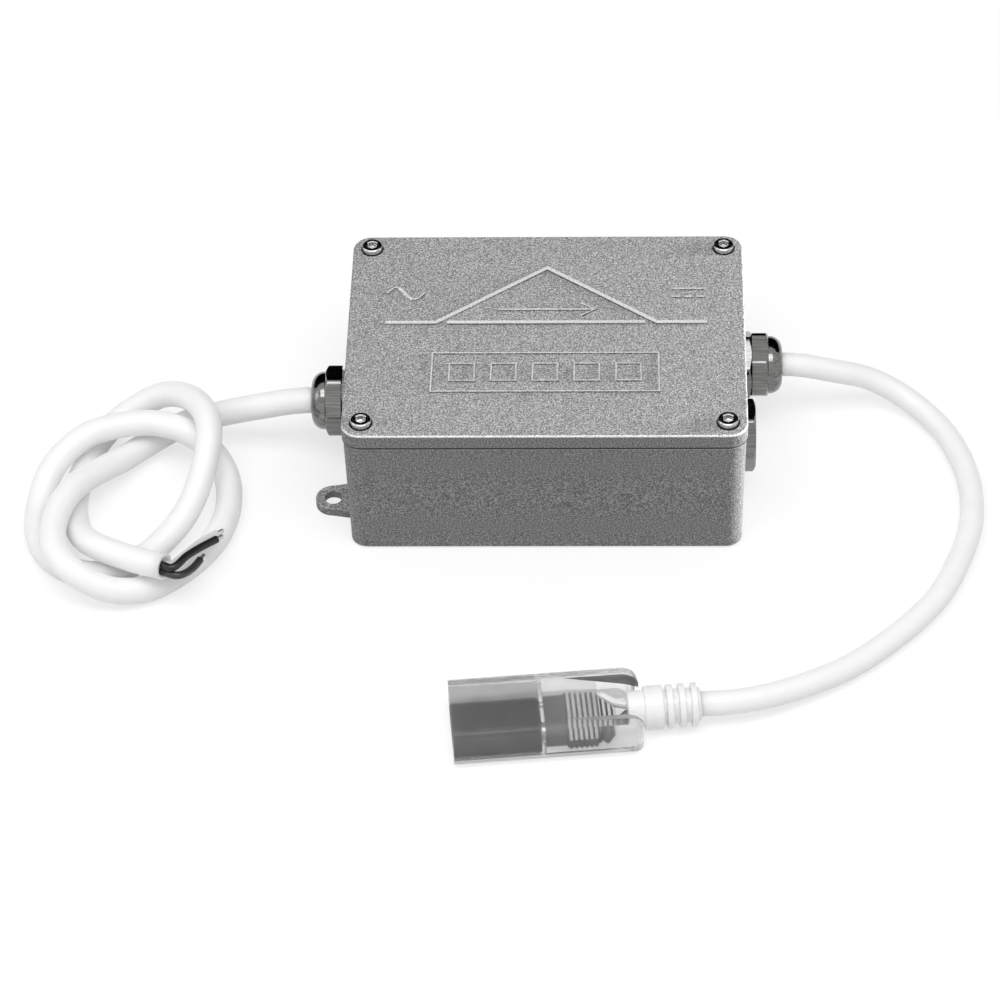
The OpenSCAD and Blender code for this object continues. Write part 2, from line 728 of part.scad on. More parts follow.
module plug_shell() {
    end_r = 5;
    color("gainsboro", 0.5) at_plug() difference() {
        intersection() {
            translate([shell_back, 0, 0]) along_x(shell_l) rounded_rect(shell_w, shell_h, shell_r);
            translate([0, 0, -shell_h]) linear_extrude(2 * shell_h) {
                translate([shell_back + end_r, -shell_w / 2]) square([shell_l, shell_w]);
                translate([shell_back, end_r - shell_w / 2]) square([shell_l, shell_w - 2 * end_r]);
                for (y = [-1, 1])
                    translate([shell_back + end_r, y * (shell_w / 2 - end_r)]) circle(end_r);
            }
        }
        translate([socket_x, 0, 0]) along_x(socket_l + past) rounded_rect(socket_w, socket_h, 1);
        translate([shell_back - past, -socket_w / 2, -socket_h / 2])
            cube([block_front - shell_back + past, socket_w, socket_h]);
        translate([shell_back, scoop_w / 2, shell_h / 2]) rotate([90, 0, 0]) linear_extrude(scoop_w)
            polygon([[-past, -scoop_depth], [0, -scoop_depth], [scoop_l, 0], [scoop_l, past], [-past, past]]);
        translate([shell_back - past, 0, 0]) rotate([0, 90, 0])
            cylinder(r = neck_r + slip_gap, h = boot_in + past + 2 * slip_gap);
        for (y = [-1, 1])
            translate([block_front - past, y * contact_pitch / 2, carrier_z]) rotate([0, 90, 0])
                cylinder(d = contact_d + 2 * slip_gap, h = partition_t + 2 * past);
    }
}

// Contact block with a ribbed wedge behind it, which the two leads run along
module plug_carrier() {
    pitch = wedge_l / wedge_ribs;
    rib = pitch * 0.55;
    rib_h = (block_h - wedge_h) / 2;
    color("gray") at_plug() translate([0, 0, carrier_z]) difference() {
        union() {
            translate([wedge_x, -block_w / 2, -block_h / 2]) cube([block_l, block_w, block_h]);
            translate([0, 0, -wedge_h / 2]) linear_extrude(wedge_h) wedge_outline();
            intersection() {
                translate([0, 0, -wedge_h / 2 - rib_h]) linear_extrude(wedge_h + 2 * rib_h) wedge_outline();
                for (k = [0:wedge_ribs - 1])
                    translate([wedge_tip_x + k * pitch, -wedge_w / 2, -block_h])
                        cube([rib, wedge_w, 2 * block_h]);
            }
        }
        for (y = [-1, 1])
            translate([block_front - block_l / 2, y * contact_pitch / 2, 0]) rotate([0, 90, 0])
                cylinder(d = contact_d + 2 * slip_gap, h = block_l);
    }
}

module wedge_outline() {
    knee_x = wedge_x - wedge_straight;
    polygon([
        [wedge_x + 0.01, -wedge_w / 2], [wedge_x + 0.01, wedge_w / 2], [knee_x, wedge_w / 2],
        [wedge_tip_x, wedge_tip_w / 2], [wedge_tip_x, -wedge_tip_w / 2], [knee_x, -wedge_w / 2]
    ]);
}

// Two sleeves that end flush with the bottom of the socket
module plug_contacts() {
    sleeve_l = block_l / 2 + partition_t;
    color("goldenrod") at_plug()
        for (y = [-1, 1])
            translate([block_front - block_l / 2, y * contact_pitch / 2, carrier_z]) rotate([0, 90, 0])
                difference() {
                    cylinder(d = contact_d, h = sleeve_l);
                    translate([0, 0, sleeve_l / 3]) cylinder(d = contact_bore, h = sleeve_l);
                }
}

// A lead from its hole in the boot, out along the flank of the wedge
module plug_lead(side) {
    slope = (wedge_w - wedge_tip_w) / 2 / (wedge_l - wedge_straight);
    clear = (lead_d / 2 + 2 * slip_gap) * norm([1, slope]);
    tip_y = wedge_tip_w / 2 + clear;
    end_y = socket_w / 2 - lead_d / 2 - 2 * slip_gap;
    end_x = wedge_tip_x + (end_y - tip_y) / slope;
    at_plug() tube([
        [boot_front - boot_in + slip_gap, side * lead_pitch / 2, 0],
        [boot_front + 0.3, side * lead_pitch / 2, 0],
        [wedge_tip_x, side * tip_y, carrier_z / 2], [end_x, side * end_y, carrier_z]
    ], lead_d, core_sides);
}

module plug_wire_light() {
    color("white") plug_lead(-1);
}

module plug_wire_dark() {
    color("dimgray") plug_lead(1);
}

module circuit_board() {
    color("darkgreen") difference() {
        translate([board_x0, -board_d / 2, board_z]) cube([board_w, board_d, board_t]);
        board_posts() translate([0, 0, board_z - past])
            cylinder(d = board_screw_d + 2 * thread_gap, h = board_t + 2 * past);
        rectifier_pins() translate([0, 0, board_z - past]) cylinder(d = 1.2, h = board_t + 2 * past);
    }
}

module board_screws() {
    head_h = 1.6;
    shank = board_t + board_lift - 0.5;
    color("silver") board_posts() translate([0, 0, board_top - shank]) {
        cylinder(d = board_screw_d, h = shank);
        translate([0, 0, shank]) cylinder(d = board_screw_d * 2, h = head_h);
    }
}

module rectifier_pins() {
    for (k = [-1.5:1:1.5])
        translate([rectifier_x + rectifier_t / 2, k * rectifier_pitch, 0]) children();
}

module bridge_rectifier() {
    color("black") difference() {
        union() {
            translate([rectifier_x, -rectifier_w / 2, rectifier_z])
                cube([rectifier_t, rectifier_w, rectifier_h]);
            rectifier_pins() translate([0, 0, board_z - past])
                cylinder(d = 1, h = board_t + rectifier_lift + 2 * past);
        }
        translate([rectifier_x - past, 0, rectifier_hole_z]) rotate([0, 90, 0])
            cylinder(d = rectifier_screw_d + 4 * slip_gap, h = rectifier_t + 2 * past);
    }
}

module rectifier_screw() {
    head_t = 2;
    color("silver") translate([rectifier_x, 0, rectifier_hole_z]) rotate([0, 90, 0]) {
        translate([0, 0, -head_t]) cylinder(d = rectifier_screw_d * 1.9, h = head_t);
        cylinder(d = rectifier_screw_d, h = rectifier_t + heat_pad_t + rib_t);
    }
}

module thermal_pad() {
    color("lightgray") difference() {
        translate([rib_x - heat_pad_t, -rectifier_w / 2, rectifier_z])
            cube([heat_pad_t, rectifier_w, rectifier_h]);
        translate([rib_x - heat_pad_t - past, 0, rectifier_hole_z]) rotate([0, 90, 0])
            cylinder(d = rectifier_screw_d + 4 * slip_gap, h = heat_pad_t + 2 * past);
    }
}

module fuse() {
    cap_l = 5;
    color("lightgray") translate([fuse_x, fuse_y + fuse_l / 2, fuse_z]) rotate([90, 0, 0]) {
        cylinder(d = fuse_d, h = cap_l);
        translate([0, 0, fuse_l - cap_l]) cylinder(d = fuse_d, h = cap_l);
        translate([0, 0, cap_l]) cylinder(d = fuse_d - 0.4, h = fuse_l - 2 * cap_l);
    }
}

module fuse_clips() {
    clip_l = 4;
    clip_w = fuse_d + 1.6;
    color("silver") difference() {
        for (y = [-1, 1])
            translate([fuse_x - clip_w / 2, fuse_y + y * (fuse_l - clip_l) / 2 - clip_l / 2, board_top])
                cube([clip_w, clip_l, fuse_z - board_top + 1]);
        translate([fuse_x, fuse_y + fuse_l / 2 + past, fuse_z]) rotate([90, 0, 0])
            cylinder(d = fuse_d + 2 * rubber_gap, h = fuse_l + 2 * past);
        translate([fuse_x - fuse_d / 2 + 0.6, fuse_y - fuse_l, fuse_z])
            cube([fuse_d - 1.2, 2 * fuse_l, fuse_d]);
    }
}

module varistor() {
    leg_l = 1;
    color("steelblue") translate([fuse_x, -fuse_y, board_top]) {
        translate([-varistor_t / 2, 0, varistor_d / 2 + leg_l]) rotate([0, 90, 0])
            cylinder(d = varistor_d, h = varistor_t);
        for (y = [-1, 1])
            translate([0, y * varistor_d / 5, 0]) cylinder(d = leg_l, h = varistor_d / 4);
    }
}

module x_capacitor() {
    color("goldenrod") translate([box_cap_x, fuse_y - box_cap_l / 2, board_top])
        cube([box_cap_w, box_cap_l, box_cap_h]);
}

module smoothing_capacitor() {
    crimp = 0.6;
    color("midnightblue") translate([can_x, -fuse_y, board_top]) rotate_extrude() polygon([
        [0, 0], [can_d / 2, 0], [can_d / 2, 2], [can_d / 2 - crimp, 3], [can_d / 2, 4],
        [can_d / 2, can_h - crimp], [can_d / 2 - crimp, can_h], [0, can_h]
    ]);
}

// A ring core wound with thick wire, on a round foot
module choke() {
    foot_t = 1;
    color("peru") translate([choke_x, fuse_y + foot_t, board_top + choke_wire_r]) {
        rotate_extrude() translate([choke_ring_r, 0]) circle(choke_wire_r);
        translate([0, 0, -choke_wire_r]) difference() {
            cylinder(r = choke_ring_r, h = foot_t);
            translate([0, 0, -past]) cylinder(r = foot_t, h = foot_t + 2 * past);
        }
    }
}

module terminal_block(x, y, l, w) {
    color("seagreen") difference() {
        translate([x, y - w / 2, board_top]) cube([l, w, terminal_h]);
        for (k = [-1, 1])
            translate([x + l / 2, y + k * w / 4, board_top + terminal_h - 2]) cylinder(d = 3.4, h = 3);
    }
}

module ac_terminal_block() { terminal_block(ac_terminal_x, ac_gland_y, terminal_l, 15); }
module dc_terminal_block() { terminal_block(dc_terminal_x, dc_gland_y, terminal_l, 11); }

// Straight leads from the end of a cord's jacket to a terminal block
module inner_lead(from_x, to_x, y, z) {
    translate([min(from_x, to_x), y, z]) rotate([0, 90, 0]) cylinder(d = core_d, h = abs(to_x - from_x));
}

module ac_inner_leads() {
    color("black") for (k = [0:2])
        inner_lead(ac_route[0].x, ac_terminal_x,
            ac_gland_y + core_ring * sin(120 * k), gland_z + core_ring * cos(120 * k));
}

module dc_inner_leads() {
    color("black") for (k = [-1, 1])
        inner_lead(dc_route[0].x, dc_terminal_x + terminal_l, dc_gland_y + k * core_ring, gland_z);
}

base_box();
lid();
lid_gasket();
lid_screws();
ac_gland_body();
ac_gland_o_ring();
ac_gland_locknut();
ac_gland_seal();
ac_gland_claw();
ac_gland_dome_nut();
dc_gland_body();
dc_gland_o_ring();
dc_gland_locknut();
dc_gland_seal();
dc_gland_claw();
dc_gland_dome_nut();
blanking_plug();
blanking_plug_o_ring();
blanking_plug_locknut();
ac_cord();
ac_core_live();
ac_core_neutral();
ac_core_earth();
dc_cord();
dc_strain_relief();
plug_shell();
plug_carrier();
plug_contacts();
plug_wire_light();
plug_wire_dark();
circuit_board();
board_screws();
bridge_rectifier();
rectifier_screw();
thermal_pad();
fuse();
fuse_clips();
varistor();
x_capacitor();
smoothing_capacitor();
choke();
ac_terminal_block();
dc_terminal_block();
ac_inner_leads();
dc_inner_leads();
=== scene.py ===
# Looks of a sealed rectifier driver for mains LED strip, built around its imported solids.
# Metres, +Z up, +X towards the output side, origin under the middle of the box.
import math

import bmesh
import bpy
from mathutils import Matrix, Vector


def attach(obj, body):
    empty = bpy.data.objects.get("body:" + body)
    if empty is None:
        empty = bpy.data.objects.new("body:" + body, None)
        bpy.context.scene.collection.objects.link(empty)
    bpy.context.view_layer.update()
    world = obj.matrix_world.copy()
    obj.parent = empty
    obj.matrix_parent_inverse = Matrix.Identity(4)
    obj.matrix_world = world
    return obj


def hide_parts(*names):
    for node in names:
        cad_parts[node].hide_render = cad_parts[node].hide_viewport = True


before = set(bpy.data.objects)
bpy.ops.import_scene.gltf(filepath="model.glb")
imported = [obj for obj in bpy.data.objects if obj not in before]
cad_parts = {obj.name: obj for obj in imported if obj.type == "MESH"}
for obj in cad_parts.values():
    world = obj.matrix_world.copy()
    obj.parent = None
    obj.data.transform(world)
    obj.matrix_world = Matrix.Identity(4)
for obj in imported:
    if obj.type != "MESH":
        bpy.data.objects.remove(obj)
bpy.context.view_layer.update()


# Base box: the die-cast lower half, with drafted walls, fixing ears and milled gland seats.
# Cast aluminium, shot-blasted all over to an even grey grain, which breaks its arrises. Its walls take the
# darker copy of the casting, painted shade, and the flat tops of its ears the lighter copy of the lid's top,
# painted light.
def srgb(hex_code):
    channels = [int(hex_code[i:i + 2], 16) / 255 for i in (1, 3, 5)]
    return [c / 12.92 if c <= 0.04045 else ((c + 0.055) / 1.055) ** 2.4 for c in channels] + [1.0]


def add(tree, kind, settings={}, links={}):
    node = tree.nodes.new(kind)
    for key, value in settings.items():
        if isinstance(key, str) and hasattr(node, key):
            setattr(node, key, value)
        else:
            node.inputs[key].default_value = value
    for key, socket in links.items():
        tree.links.new(socket, node.inputs[key])
    return node


def new_finish(name):
    material = bpy.data.materials.new(name)
    material.use_nodes = True
    tree = material.node_tree
    tree.nodes.clear()
    shader = add(tree, "ShaderNodeBsdfPrincipled")
    add(tree, "ShaderNodeOutputMaterial", {}, {"Surface": shader.outputs["BSDF"]})
    place = add(tree, "ShaderNodeTexCoord").outputs["Object"]
    return material, tree, shader, place


def shade(tree, fac, stops):
    ramp = add(tree, "ShaderNodeValToRGB", {}, {"Fac": fac})
    elements = ramp.color_ramp.elements
    while len(elements) < len(stops):
        elements.new(0.5)
    for element, (position, hex_code) in zip(elements, stops):
        element.position = position
        element.color = srgb(hex_code)
    return ramp.outputs["Color"]


def put(name, mesh, slot, *nodes):
    """Hangs a finished mesh on the part, in place of the solids that it stands for."""
    piece = bpy.data.objects.new(name, mesh)
    bpy.context.collection.objects.link(piece)
    piece.modifiers.new("level_faces", "WEIGHTED_NORMAL").keep_sharp = True
    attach(piece, "root")
    if nodes:
        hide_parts(*nodes)
    return piece


def finish_mesh(name, form, material, sharp=32):
    """A mesh of a form, smooth over its curves and sharp at its edges."""
    mesh = bpy.data.meshes.new(name)
    form.to_mesh(mesh)
    form.free()
    mesh.shade_smooth()
    mesh.set_sharp_from_angle(angle=math.radians(sharp))
    mesh.materials.append(material)
    return mesh


def joined_copy(node):
    """A copy of a solid with its loose triangles joined to whole faces."""
    form = bmesh.new()
    form.from_mesh(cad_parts[node].data)
    bmesh.ops.remove_doubles(form, verts=form.verts, dist=2e-6)
    bmesh.ops.dissolve_limit(form, angle_limit=math.radians(0.3), verts=form.verts, edges=form.edges)
    for layer in list(form.loops.layers.float_vector.keys()):
        form.loops.layers.float_vector.remove(form.loops.layers.float_vector[layer])
    return form


def break_edges(form, width, steps=2, sharp=32, wanted=lambda edge: True):
    """Rounds the outward edges of a form, or those of them that are wanted."""
    edges = [e for e in form.edges
             if e.is_manifold and e.calc_face_angle_signed() > math.radians(sharp) and wanted(e)]
    bmesh.ops.bevel(form, geom=edges, offset=width, segments=steps, profile=0.5, affect="EDGES",
                    clamp_overlap=True)


def recast(node, material, slot, edge=0.0):
    """A finished copy of a solid, with its outward edges broken where a width is given."""
    form = joined_copy(node)
    if edge:
        break_edges(form, edge)
    return put(node + "_finish", finish_mesh(node + "_finish", form, material), slot, node)


def blasted_casting(name, stops, roughness):
    """Blasted cast aluminium: grit marks of 0.4 mm, dark in their pits and bright on their rims, with a
    line of painted shade in the joint between lid and base, and a painted highlight on the base's rim under
    that line."""
    grit_size, joint_level, joint_half, rim_level, rim_half = 0.0004, 0.037, 0.0004, 0.0365, 0.00018
    material, tree, shader, place = new_finish(name)
    grit = add(tree, "ShaderNodeTexNoise", {"Scale": 1 / grit_size, "Detail": 2.0, "Roughness": 0.6},
               {"Vector": place}).outputs["Fac"]
    height = add(tree, "ShaderNodeSeparateXYZ", {}, {0: place}).outputs["Z"]
    # The joint is painted near black: painted shade standing in for the shadow in the seam.
    joint = add(tree, "ShaderNodeMath", {"operation": "COMPARE", 1: joint_level, 2: joint_half}, {0: height})
    # A thin band on the base's rim is painted light grey: a painted highlight where the rim's edge catches
    # the light.
    rim = add(tree, "ShaderNodeMath", {"operation": "COMPARE", 1: rim_level, 2: rim_half}, {0: height})
    rim_highlight_share = add(tree, "ShaderNodeMath", {"operation": "MULTIPLY"}, {0: rim.outputs[0], 1: grit})
    rim_highlighted_tone = add(tree, "ShaderNodeMix", {"data_type": "RGBA", 7: srgb("#b8b8b8")},
               {0: rim_highlight_share.outputs[0], 6: shade(tree, grit, stops)})
    joint_shaded_tone = add(tree, "ShaderNodeMix", {"data_type": "RGBA", 7: srgb("#161616")},
                {0: joint.outputs[0], 6: rim_highlighted_tone.outputs[2]})
    tree.links.new(joint_shaded_tone.outputs[2], shader.inputs["Base Color"])
    rough = add(tree, "ShaderNodeMapRange", {"To Min": roughness - 0.1, "To Max": roughness + 0.1},
                {"Value": grit})
    tree.links.new(rough.outputs["Result"], shader.inputs["Roughness"])
    bump = add(tree, "ShaderNodeBump", {"Strength": 0.4, "Distance": 0.00005}, {"Height": grit})
    tree.links.new(bump.outputs["Normal"], shader.inputs["Normal"])
    shader.inputs["Metallic"].default_value = 0.2
    return material


# Two tones of one casting: the lighter one paints light on faces that look up, the darker one paints shade
# on walls.
shaded_casting = blasted_casting("cast_aluminium_painted_shade",
                               [(0.3, "#3c3c3d"), (0.5, "#707070"), (0.7, "#a6a6a6")], 0.52)
lit_casting = blasted_casting("cast_aluminium_painted_light",
                                [(0.3, "#575758"), (0.5, "#9a9a9a"), (0.7, "#dedede")], 0.52)
blasted_edge, over_ears = 0.00022, 0.006
base_piece = recast("base_box", shaded_casting, "cast_aluminium", edge=blasted_edge)
base_piece.data.materials.append(lit_casting)
# Flat tops of the ears: the lighter tone, painted light.
for face in base_piece.data.polygons:
    face.material_index = int(face.normal.z > 0.9 and face.center.z < over_ears)


# Rectifier board: a glass-epoxy board on four cast posts, with the fuse, varistor, capacitors, choke,
# terminal blocks and the bridge rectifier that is screwed over a heat pad to the cooling rib.
def moulded(name, dark, light, grain, roughness, metallic=0.0):
    """A moulded, dipped or coated surface: two close tones in soft specks, with a faint unevenness."""
    material, tree, shader, place = new_finish(name)
    specks = add(tree, "ShaderNodeTexNoise", {"Scale": 1 / grain, "Detail": 3.0},
                 {"Vector": place}).outputs["Fac"]
    tree.links.new(shade(tree, specks, [(0.3, dark), (0.7, light)]), shader.inputs["Base Color"])
    rough = add(tree, "ShaderNodeMapRange", {"To Min": roughness - 0.06, "To Max": roughness + 0.06},
                {"Value": specks})
    tree.links.new(rough.outputs["Result"], shader.inputs["Roughness"])
    bump = add(tree, "ShaderNodeBump", {"Strength": 0.2, "Distance": grain / 20}, {"Height": specks})
    tree.links.new(bump.outputs["Normal"], shader.inputs["Normal"])
    shader.inputs["Metallic"].default_value = metallic
    return material


def dress(material, *nodes):
    """Gives solids that stay as they are their finish."""
    for node in nodes:
        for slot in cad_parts[node].material_slots:
            slot.material = material


dress(moulded("glass_epoxy_laminate", "#25502f", "#2f6239", 0.0008, 0.45), "circuit_board")
dress(moulded("zinc_plated_steel", "#a9a9a6", "#c6c6c3", 0.0006, 0.3, metallic=1.0),
      "board_screws", "rectifier_screw")
dress(moulded("black_epoxy_moulding", "#161617", "#232324", 0.0005, 0.5), "bridge_rectifier")
dress(moulded("silicone_heat_pad", "#b4b6b8", "#c6c8ca", 0.0007, 0.6), "thermal_pad")
dress(moulded("fuse_glass_and_caps", "#b9bcbd", "#d0d3d4", 0.001, 0.15), "fuse")
dress(moulded("tinned_bronze", "#b3b1aa", "#cbc9c2", 0.0005, 0.28, metallic=1.0), "fuse_clips")
dress(moulded("blue_epoxy_dip", "#234d86", "#2c5c9c", 0.0012, 0.3), "varistor")
dress(moulded("amber_potted_case", "#b98a2c", "#cc9b38", 0.001, 0.4), "x_capacitor")
dress(moulded("blue_shrink_sleeve", "#1b2748", "#243258", 0.0015, 0.3), "smoothing_capacitor")
dress(moulded("enamelled_copper", "#9a5a30", "#b76f3e", 0.0006, 0.25, metallic=1.0), "choke")
dress(moulded("green_terminal_nylon", "#2b7a4b", "#348a57", 0.0008, 0.42),
      "ac_terminal_block", "dc_terminal_block")
dress(moulded("black_lead_insulation", "#171717", "#242424", 0.0006, 0.4),
      "ac_inner_leads", "dc_inner_leads")


# Cable glands and blanking plug: brass turned from drawn hexagon bar and nickel-plated bright, on rubber
# rings, with a rubber seal and a nylon claw that the round-headed dome nut closes on the cord.
def nickel_plating():
    """Bright nickel over drawn bar: a grey mirror with faint streaks of 0.5 mm along the bar."""
    material, tree, shader, place = new_finish("nickel_plated_brass")
    along = add(tree, "ShaderNodeMapping", {"Scale": (0.06, 1.0, 1.0)}, {"Vector": place})
    streaks = add(tree, "ShaderNodeTexNoise", {"Scale": 1 / 0.0005, "Detail": 3.0},
                  {"Vector": along.outputs[0]}).outputs["Fac"]
    tone = shade(tree, streaks, [(0.35, "#6a6a69"), (0.65, "#828281")])
    tree.links.new(tone, shader.inputs["Base Color"])
    rough = add(tree, "ShaderNodeMapRange", {"To Min": 0.06, "To Max": 0.2}, {"Value": streaks})
    tree.links.new(rough.outputs["Result"], shader.inputs["Roughness"])
    bump = add(tree, "ShaderNodeBump", {"Strength": 0.06, "Distance": 0.00003}, {"Height": streaks})
    tree.links.new(bump.outputs["Normal"], shader.inputs["Normal"])
    shader.inputs["Metallic"].default_value = 1.0
    return material


def bar_skin(across, rounding, turn):
    """Distance of a hexagon bar's skin from its axis, at a turn from one of its rounded corners."""
    half = across / 2
    off_corner = abs((turn + math.pi / 6) % (math.pi / 3) - math.pi / 6)
    off_flat = math.pi / 6 - off_corner
    if half * math.tan(off_flat) <= (half - rounding) * math.tan(math.pi / 6):
        return half / math.cos(off_flat)
    centre = (half - rounding) / math.cos(math.pi / 6)
    return centre * math.cos(off_corner) + math.sqrt(rounding ** 2 - (centre * math.sin(off_corner)) ** 2)


def crown(top, across):
    """The outer end of a hexagon, its corners turned down at 30 degrees to the face."""
    drops = [0.9 * (1 - k / 6) for k in range(7)]
    return [(top - drop, 0.49 * across + drop * math.tan(math.pi / 3), True) for drop in drops]


def turned_from_bar(node, side, y, across, turn, outline, sides=180):
    """A piece turned from hexagon bar, standing out of the wall; each step of its outline has a place
    along the axis and a radius in millimetres, and tells whether the bar's flats still show there."""
    wall, axis_level, corner_rounding = 0.052185, 0.0175, 1.8
    outwards = Matrix.Rotation(side * math.pi / 2, 4, "Y")
    place = Matrix.Translation((side * wall, y / 1000, axis_level)) @ outwards
    form = bmesh.new()
    rings = []
    for along, radius, flats in outline:
        ring = []
        for k in range(sides):
            angle = math.tau * k / sides
            skin = bar_skin(across, corner_rounding, angle - math.radians(turn)) if flats else radius
            r = min(radius, skin)
            point = Vector((r * math.cos(angle), r * math.sin(angle), along)) / 1000
            ring.append(form.verts.new(place @ point))
        rings.append(ring)
    for a, b in zip(rings, rings[1:] + rings[:1]):
        for k in range(sides):
            form.faces.new((a[k], a[(k + 1) % sides], b[(k + 1) % sides], b[k]))
    bmesh.ops.recalc_face_normals(form, faces=form.faces)
    put(node + "_finish", finish_mesh(node + "_finish", form, nickel), "nickel_plate", node)


nickel = nickel_plating()
rubber = moulded("black_nitrile_rubber", "#121212", "#1d1d1d", 0.0006, 0.55)
nylon = moulded("black_nylon", "#151516", "#202021", 0.0008, 0.45)
inner_end, o_ring_top, body_top, nut_top, past_corners = -6.451, 0.8, 3.2, 7.6, 11
gland_across, plug_across, body_bore, closed = 17, 17.5, 4.3, 0.01
thread = [(inner_end, 7.5, False), (o_ring_top, 7.5, False), (o_ring_top, past_corners, True)]
stub = [(body_top, 7, False), (8.8, 7, False), (8.8, 5.9, False), (3.9, 5.9, False), (3.9, body_bore, False)]
dome_foot, dome_rise, dome_mouth, dome_flare = 8.1, 3.4, 4.3, 3.55
quarter = [math.pi / 2 * k / 16 for k in range(17)]
dome = [(dome_foot + dome_rise * math.sin(t), dome_mouth + dome_flare * math.cos(t), False) for t in quarter]
for gland, side, y, body_turn, nut_turn, nut_bore in (("ac", -1, 0, 67, 47, 3.85),
                                                      ("dc", 1, 14, 59, 46, 3.5)):
    dress(rubber, gland + "_gland_o_ring", gland + "_gland_seal")
    dress(nylon, gland + "_gland_claw")
    recast(gland + "_gland_locknut", nickel, "nickel_plate")
    turned_from_bar(gland + "_gland_body", side, y, gland_across, body_turn,
                    [(inner_end, body_bore, False)] + thread + crown(body_top, gland_across) + stub)
    turned_from_bar(gland + "_gland_dome_nut", side, y, gland_across, nut_turn,
                    [(body_top, nut_bore, False), (body_top, past_corners, True)]
                    + crown(nut_top, gland_across) + [(nut_top, 7.85, False)] + dome
                    + [(11.5, nut_bore, False)])
dress(rubber, "blanking_plug_o_ring")
recast("blanking_plug_locknut", nickel, "nickel_plate")
turned_from_bar("blanking_plug", 1, -14, plug_across, 25,
                [(inner_end, closed, False)] + thread + crown(3.6, plug_across) + [(3.6, closed, False)])


# Lid: the die-cast cover on its rubber seal, blasted like the base, with counterbored screw holes and a
# raised line with soft shoulders. Its top takes the lighter copy of the casting and its sides the darker
# one, painted light and painted shade. The front rim carries a painted highlight; the line carries wear and
# a painted highlight on its top and on the side towards the painted light, and painted shade on its other
# side.
dress(rubber, "lid_gasket")
lid_top, line_shoulder, rim_depth, hair = 0.0415, 0.0003, 0.0006, 0.00003
worn_and_lit_casting = blasted_casting("cast_aluminium_wear_and_painted_highlight",
                         [(0.3, "#b0b0b0"), (0.5, "#dedede"), (0.7, "#fafafa")], 0.4)
lid_form = joined_copy("lid")
break_edges(lid_form, line_shoulder,
            wanted=lambda edge: min(v.co.z for v in edge.verts) > lid_top + line_shoulder)
break_edges(lid_form, blasted_edge)
lid_mesh = finish_mesh("lid_finish", lid_form, lit_casting)
lid_mesh.materials.append(worn_and_lit_casting)
lid_mesh.materials.append(shaded_casting)
painted_light_side = Vector((-0.5, 0.85, 0))
# Raised line: wear and a painted highlight on its top and lit side, painted shade on its other side; front
# rim: painted highlight; sides: painted shade; top: painted light.
for face in lid_mesh.polygons:
    towards = face.normal.dot(painted_light_side)
    if face.center.z > lid_top + hair:
        face.material_index = 1 if towards > -0.2 else 2
    elif face.center.z > lid_top - rim_depth:
        face.material_index = int(0.3 < face.normal.z < 0.97 and face.normal.y < -0.1)
    else:
        face.material_index = 2 if abs(face.normal.z) < 0.3 else 0
put("lid_finish", lid_mesh, "cast_aluminium", "lid")


# Signs on the lid: plain raised outlines cast with it, for alternating current in, direct current out,
# the way from one to the other, and a strip with its lights. Like the raised line, they carry wear and a
# painted highlight on their tops and lit sides, and painted shade on their other sides.
def grow(name, base, tree, values):
    """The plain mesh that a tree of geometry nodes makes of an object, which is then taken away."""
    modifier = base.modifiers.new(name, "NODES")
    modifier.node_group = tree
    for item in tree.interface.items_tree:
        if item.name in values:
            modifier[item.identifier] = values[item.name]
    bpy.context.view_layer.update()
    mesh = bpy.data.meshes.new_from_object(base.evaluated_get(bpy.context.evaluated_depsgraph_get()))
    bpy.data.objects.remove(base)
    mesh.name = name
    mesh.shade_smooth()
    mesh.set_sharp_from_angle(angle=math.radians(50))
    return mesh


def new_tree(name, inputs):
    tree = bpy.data.node_groups.new(name, "GeometryNodeTree")
    tree.interface.new_socket("Geometry", in_out="INPUT", socket_type="NodeSocketGeometry")
    for label, kind in inputs:
        tree.interface.new_socket(label, in_out="INPUT", socket_type="NodeSocket" + kind)
    tree.interface.new_socket("Geometry", in_out="OUTPUT", socket_type="NodeSocketGeometry")
    return tree, add(tree, "NodeGroupInput")


def close_tree(tree, geometry, material):
    real = add(tree, "GeometryNodeRealizeInstances", {}, {"Geometry": geometry})
    dressed = add(tree, "GeometryNodeSetMaterial", {"Material": material}, {"Geometry": real.outputs[0]})
    add(tree, "NodeGroupOutput", {}, {"Geometry": dressed.outputs[0]})


def outline_box(x, y, w, h):
    return [(x - w / 2, y - h / 2), (x + w / 2, y - h / 2), (x + w / 2, y + h / 2), (x - w / 2, y + h / 2)]


wave = [(-43 + 10 * t / 16, 16.2 + 2.4 * math.sin(math.tau * t / 16)) for t in range(17)]
direct = [[(33.6, 17.8), (42.5, 17.8)]]
arrow = [[(-13, 9.5), (12.6, 9.5)], [(9.2, 12), (13, 9.5), (9.2, 7)]]
dashes = [[(x, 14.6), (x + 2.3, 14.6)] for x in (33.6, 36.9, 40.2)]
strip_y = -15.4
strip_lines = [outline_box(0, strip_y, 60, 15)]
strip_lines += [outline_box(x, strip_y, 6.6, 6.6) for x in (-22, -11, 0, 11, 22)]
signs = bpy.data.curves.new("lid_signs", "CURVE")
signs.dimensions = "3D"
for lines, cyclic in (([wave] + direct + arrow + dashes, False), (strip_lines, True)):
    for line in lines:
        spline = signs.splines.new("POLY")
        spline.points.add(len(line) - 1)
        spline.use_cyclic_u = cyclic
        for point, (x, y) in zip(spline.points, line):
            point.co = (x / 1000, y / 1000, lid_top, 1)
sign_base = bpy.data.objects.new("lid_signs_lines", signs)
bpy.context.collection.objects.link(sign_base)
tree, inputs = new_tree("raised_lines", [("Line width", "Float")])
half_width = add(tree, "ShaderNodeMath", {"operation": "MULTIPLY", 1: 0.5},
                 {0: inputs.outputs["Line width"]})
